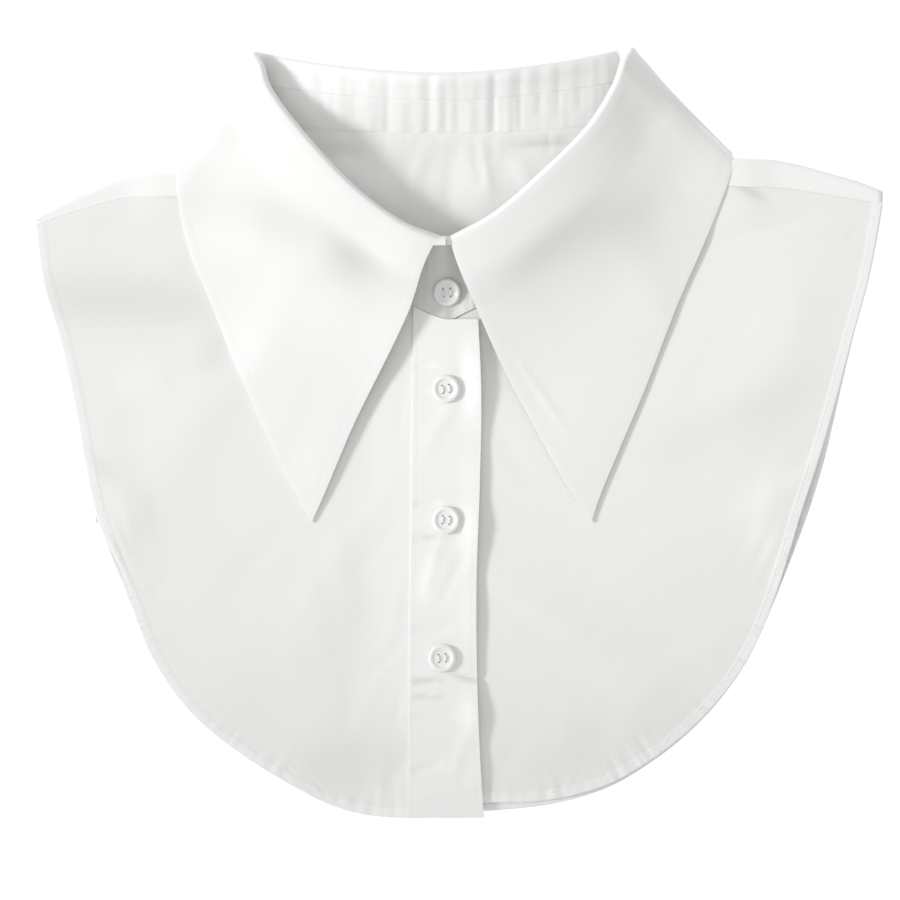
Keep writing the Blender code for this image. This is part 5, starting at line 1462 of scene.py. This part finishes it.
# %% [markdown]
# Armhole and hem have one row each, and so does each side of the placket. Buttonholes are worked in
# close upright stitches round a slot, which shows above and below each fastened button.

# %% Panel stitches
HEM_STITCH = HEM_WIDTH - 0.9
PANEL_MIDDLE = (0.0, -20.0)
right_thread = sew("right_front_stitches", [
    set_on(right_grid, PANEL_THICKNESS + 0.3, inside_of(RIGHT_OUTLINE, HEM_STITCH, PANEL_MIDDLE))])
left_thread = sew("left_front_stitches", [
    set_on(left_grid, PANEL_THICKNESS + 0.3, inside_of(LEFT_OUTLINE, HEM_STITCH, PANEL_MIDDLE))])
back_columns = np.arange(len(back_grid), dtype=float)
ROW_IN_STRIP = 0.9
STRIP_COLUMNS = 46
strip_columns = [back_columns[:STRIP_COLUMNS], back_columns[-STRIP_COLUMNS:]]
back_thread = sew("back_stitches", [
    read_face(back_grid, back_thick, columns, np.full(len(columns), ROW_IN_STRIP))
    for columns in strip_columns] + [
    set_on(back_grid[:, 28:], PANEL_THICKNESS + 0.3,
           inside_of(BACK_OUTLINE, HEM_STITCH, PANEL_MIDDLE, trim=12), side="down")])
placket_rows = np.arange(20.0, len(placket_down) - 4.0)
SEAM_INSET = SEAM_OFFSET / PLACKET_UNIT
seams = [np.interp(place, placket_across, np.arange(len(placket_across)))
         for place in (SEAM_INSET, 4.0 - SEAM_INSET)]
placket_lines = [read_face(placket_grid, placket_thick, np.full(len(placket_rows), seam_at),
                           placket_rows, side="up") for seam_at in seams]
hem_line = np.column_stack([np.linspace(-20.0, 8.0, 20), np.full(20, HEM_Y + HEM_STITCH)])
placket_lines.append(set_on(placket_grid, placket_thick, hem_line))
placket_thread = sew("placket_stitches", placket_lines)

# %% Buttonholes
HOLE_HALF_LENGTH = 6.0
HOLE_HALF_WIDTH = 0.95
BAR_PITCH = 0.42
BAR_RADIUS = 0.17
BAR_ARCH = np.array([[0.0, 0.0, -0.05], [0.0, 0.0, 0.12], [0.0, 0.0, 0.12], [0.0, 0.0, -0.05]])
SLOT_EDGE = 0.25
holes = []
for node in ("button_1", "button_2", "button_3"):
    low, high = (np.array(corner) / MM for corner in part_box(node))
    middle = (low + high)[:2] / 2.0 - SHIFT[:2]
    reach = np.arange(-HOLE_HALF_LENGTH, HOLE_HALF_LENGTH, BAR_PITCH)
    for lane in (-1.0, 1.0):
        for place in reach:
            ends = np.array([[lane * SLOT_EDGE, place], [lane * HOLE_HALF_WIDTH * 1.25, place + 0.05]])
            holes.append(set_on(placket_grid, placket_thick, middle + ends)[0])
print("buttonhole bars:", len(holes))
bars = [tube(np.linspace(points[0], points[1], 4) + BAR_ARCH, BAR_RADIUS, sides=5) for points in holes]
buttonhole_thread = new_object("buttonhole_bars", *joined(bars), thread_white, sharp=80.0)

# %% [markdown]
# ## Table, light and sky
# The picture was taken on white with one large soft light at the upper left and white all round, so
# shadows are short and pale. The lamp is a large spot with no hard edge to its cone, so its light
# falls off towards the bottom hem. The floor is plain white paper.

# %% Table and light
paper, tree, shader = new_material("matt_white_paper", Roughness=0.9, Specular_IOR_Level=0.1)
grain = add(tree, "ShaderNodeTexNoise", {"Vector": add(tree, "ShaderNodeTexCoord", {}).outputs["Object"],
                                         "Scale": 40.0, "Detail": 2.0})
paper_tint = add(tree, "ShaderNodeMix", {"Factor": grain.outputs["Fac"], 6: linear("#F8F8F8"),
                                         7: linear("#FAFAFA")}, data_type="RGBA")
tree.links.new(paper_tint.outputs[2], shader.inputs["Base Color"])
shader.inputs["Emission Color"].default_value = linear("#FFFFFF")
shader.inputs["Emission Strength"].default_value = 0.38
FLOOR_HALF = 2.5
FLOOR_DROP = 0.0002
floor_mesh = bpy.data.meshes.new("table_top")
floor_mesh.from_pydata([(-FLOOR_HALF, -FLOOR_HALF, -FLOOR_DROP), (FLOOR_HALF, -FLOOR_HALF, -FLOOR_DROP),
                        (FLOOR_HALF, FLOOR_HALF, -FLOOR_DROP), (-FLOOR_HALF, FLOOR_HALF, -FLOOR_DROP)],
                       [], [(0, 1, 2, 3)])
floor_mesh.materials.append(paper)
table_top = bpy.data.objects.new("table_top", floor_mesh)
bpy.context.scene.collection.objects.link(table_top)

LAMP_DIRECTION = np.array([-0.92, 0.03, 0.475])
LAMP_DISTANCE = 2.2
LAMP_AIM = (0.0, 0.06, 0.0)
lamp_data = bpy.data.lights.new("soft_lamp", "SPOT")
lamp_data.shadow_soft_size = 0.28
lamp_data.spot_size = np.radians(15.0)
lamp_data.spot_blend = 1.0
lamp_data.energy = 275.0
lamp = bpy.data.objects.new("soft_lamp", lamp_data)
lamp_place = unit(LAMP_DIRECTION) * LAMP_DISTANCE
lamp.rotation_euler = Vector(lamp_place.tolist()).to_track_quat("Z", "Y").to_euler()
lamp.location = (lamp_place + np.array(LAMP_AIM)).tolist()
bpy.context.scene.collection.objects.link(lamp)
sky = bpy.data.worlds.new("white_room")
sky.use_nodes = True
sky.node_tree.nodes["Background"].inputs["Color"].default_value = linear("#FFFFFF")
sky.node_tree.nodes["Background"].inputs["Strength"].default_value = 0.71
bpy.context.scene.world = sky
bpy.context.scene.view_settings.view_transform = "Standard"
print("lamp", np.round(lamp_place, 2))

# %% [markdown]
# ## What each piece is and what it stands for
# Every piece rides on the one body and stands for its solid, and the area and box of each sheet are
# printed.

# %% Bookkeeping
COTTON, RESIN, TAPE = "cotton_poplin", "white_button_resin", "elastic_tape"


def settle(item, slot, *nodes):
    """Ride on the body, and stand for the nodes if there are any. The slot is not used."""
    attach(item, "root")
    if nodes:
        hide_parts(*nodes)


def flat_area(item):
    """Half the area of a closed wall, in square metres."""
    return sum(face.area for face in item.data.polygons) / 2.0


settle(back_panel, COTTON, "back_panel")
settle(right_front, COTTON, "front_right")
settle(left_front, COTTON, "front_left")
settle(placket, COTTON, "placket")
settle(collar_band, COTTON, "collar_band")
settle(collar_leaf, COTTON, "collar_leaf")
for node, (button, thread) in buttons.items():
    settle(button, RESIN, node)
    settle(thread, COTTON)
for side, tape in tapes.items():
    settle(tape, TAPE, "side_tape_" + side)
for thread in (leaf_thread, band_thread, right_thread, left_thread, back_thread, placket_thread,
               buttonhole_thread):
    settle(thread, COTTON)
for item in (back_panel, right_front, left_front, placket, collar_band, collar_leaf):
    size = np.array([corner for corner in item.bound_box])
    print(item.name, "area", round(flat_area(item), 5), "box", np.round(np.ptp(size, axis=0), 4))
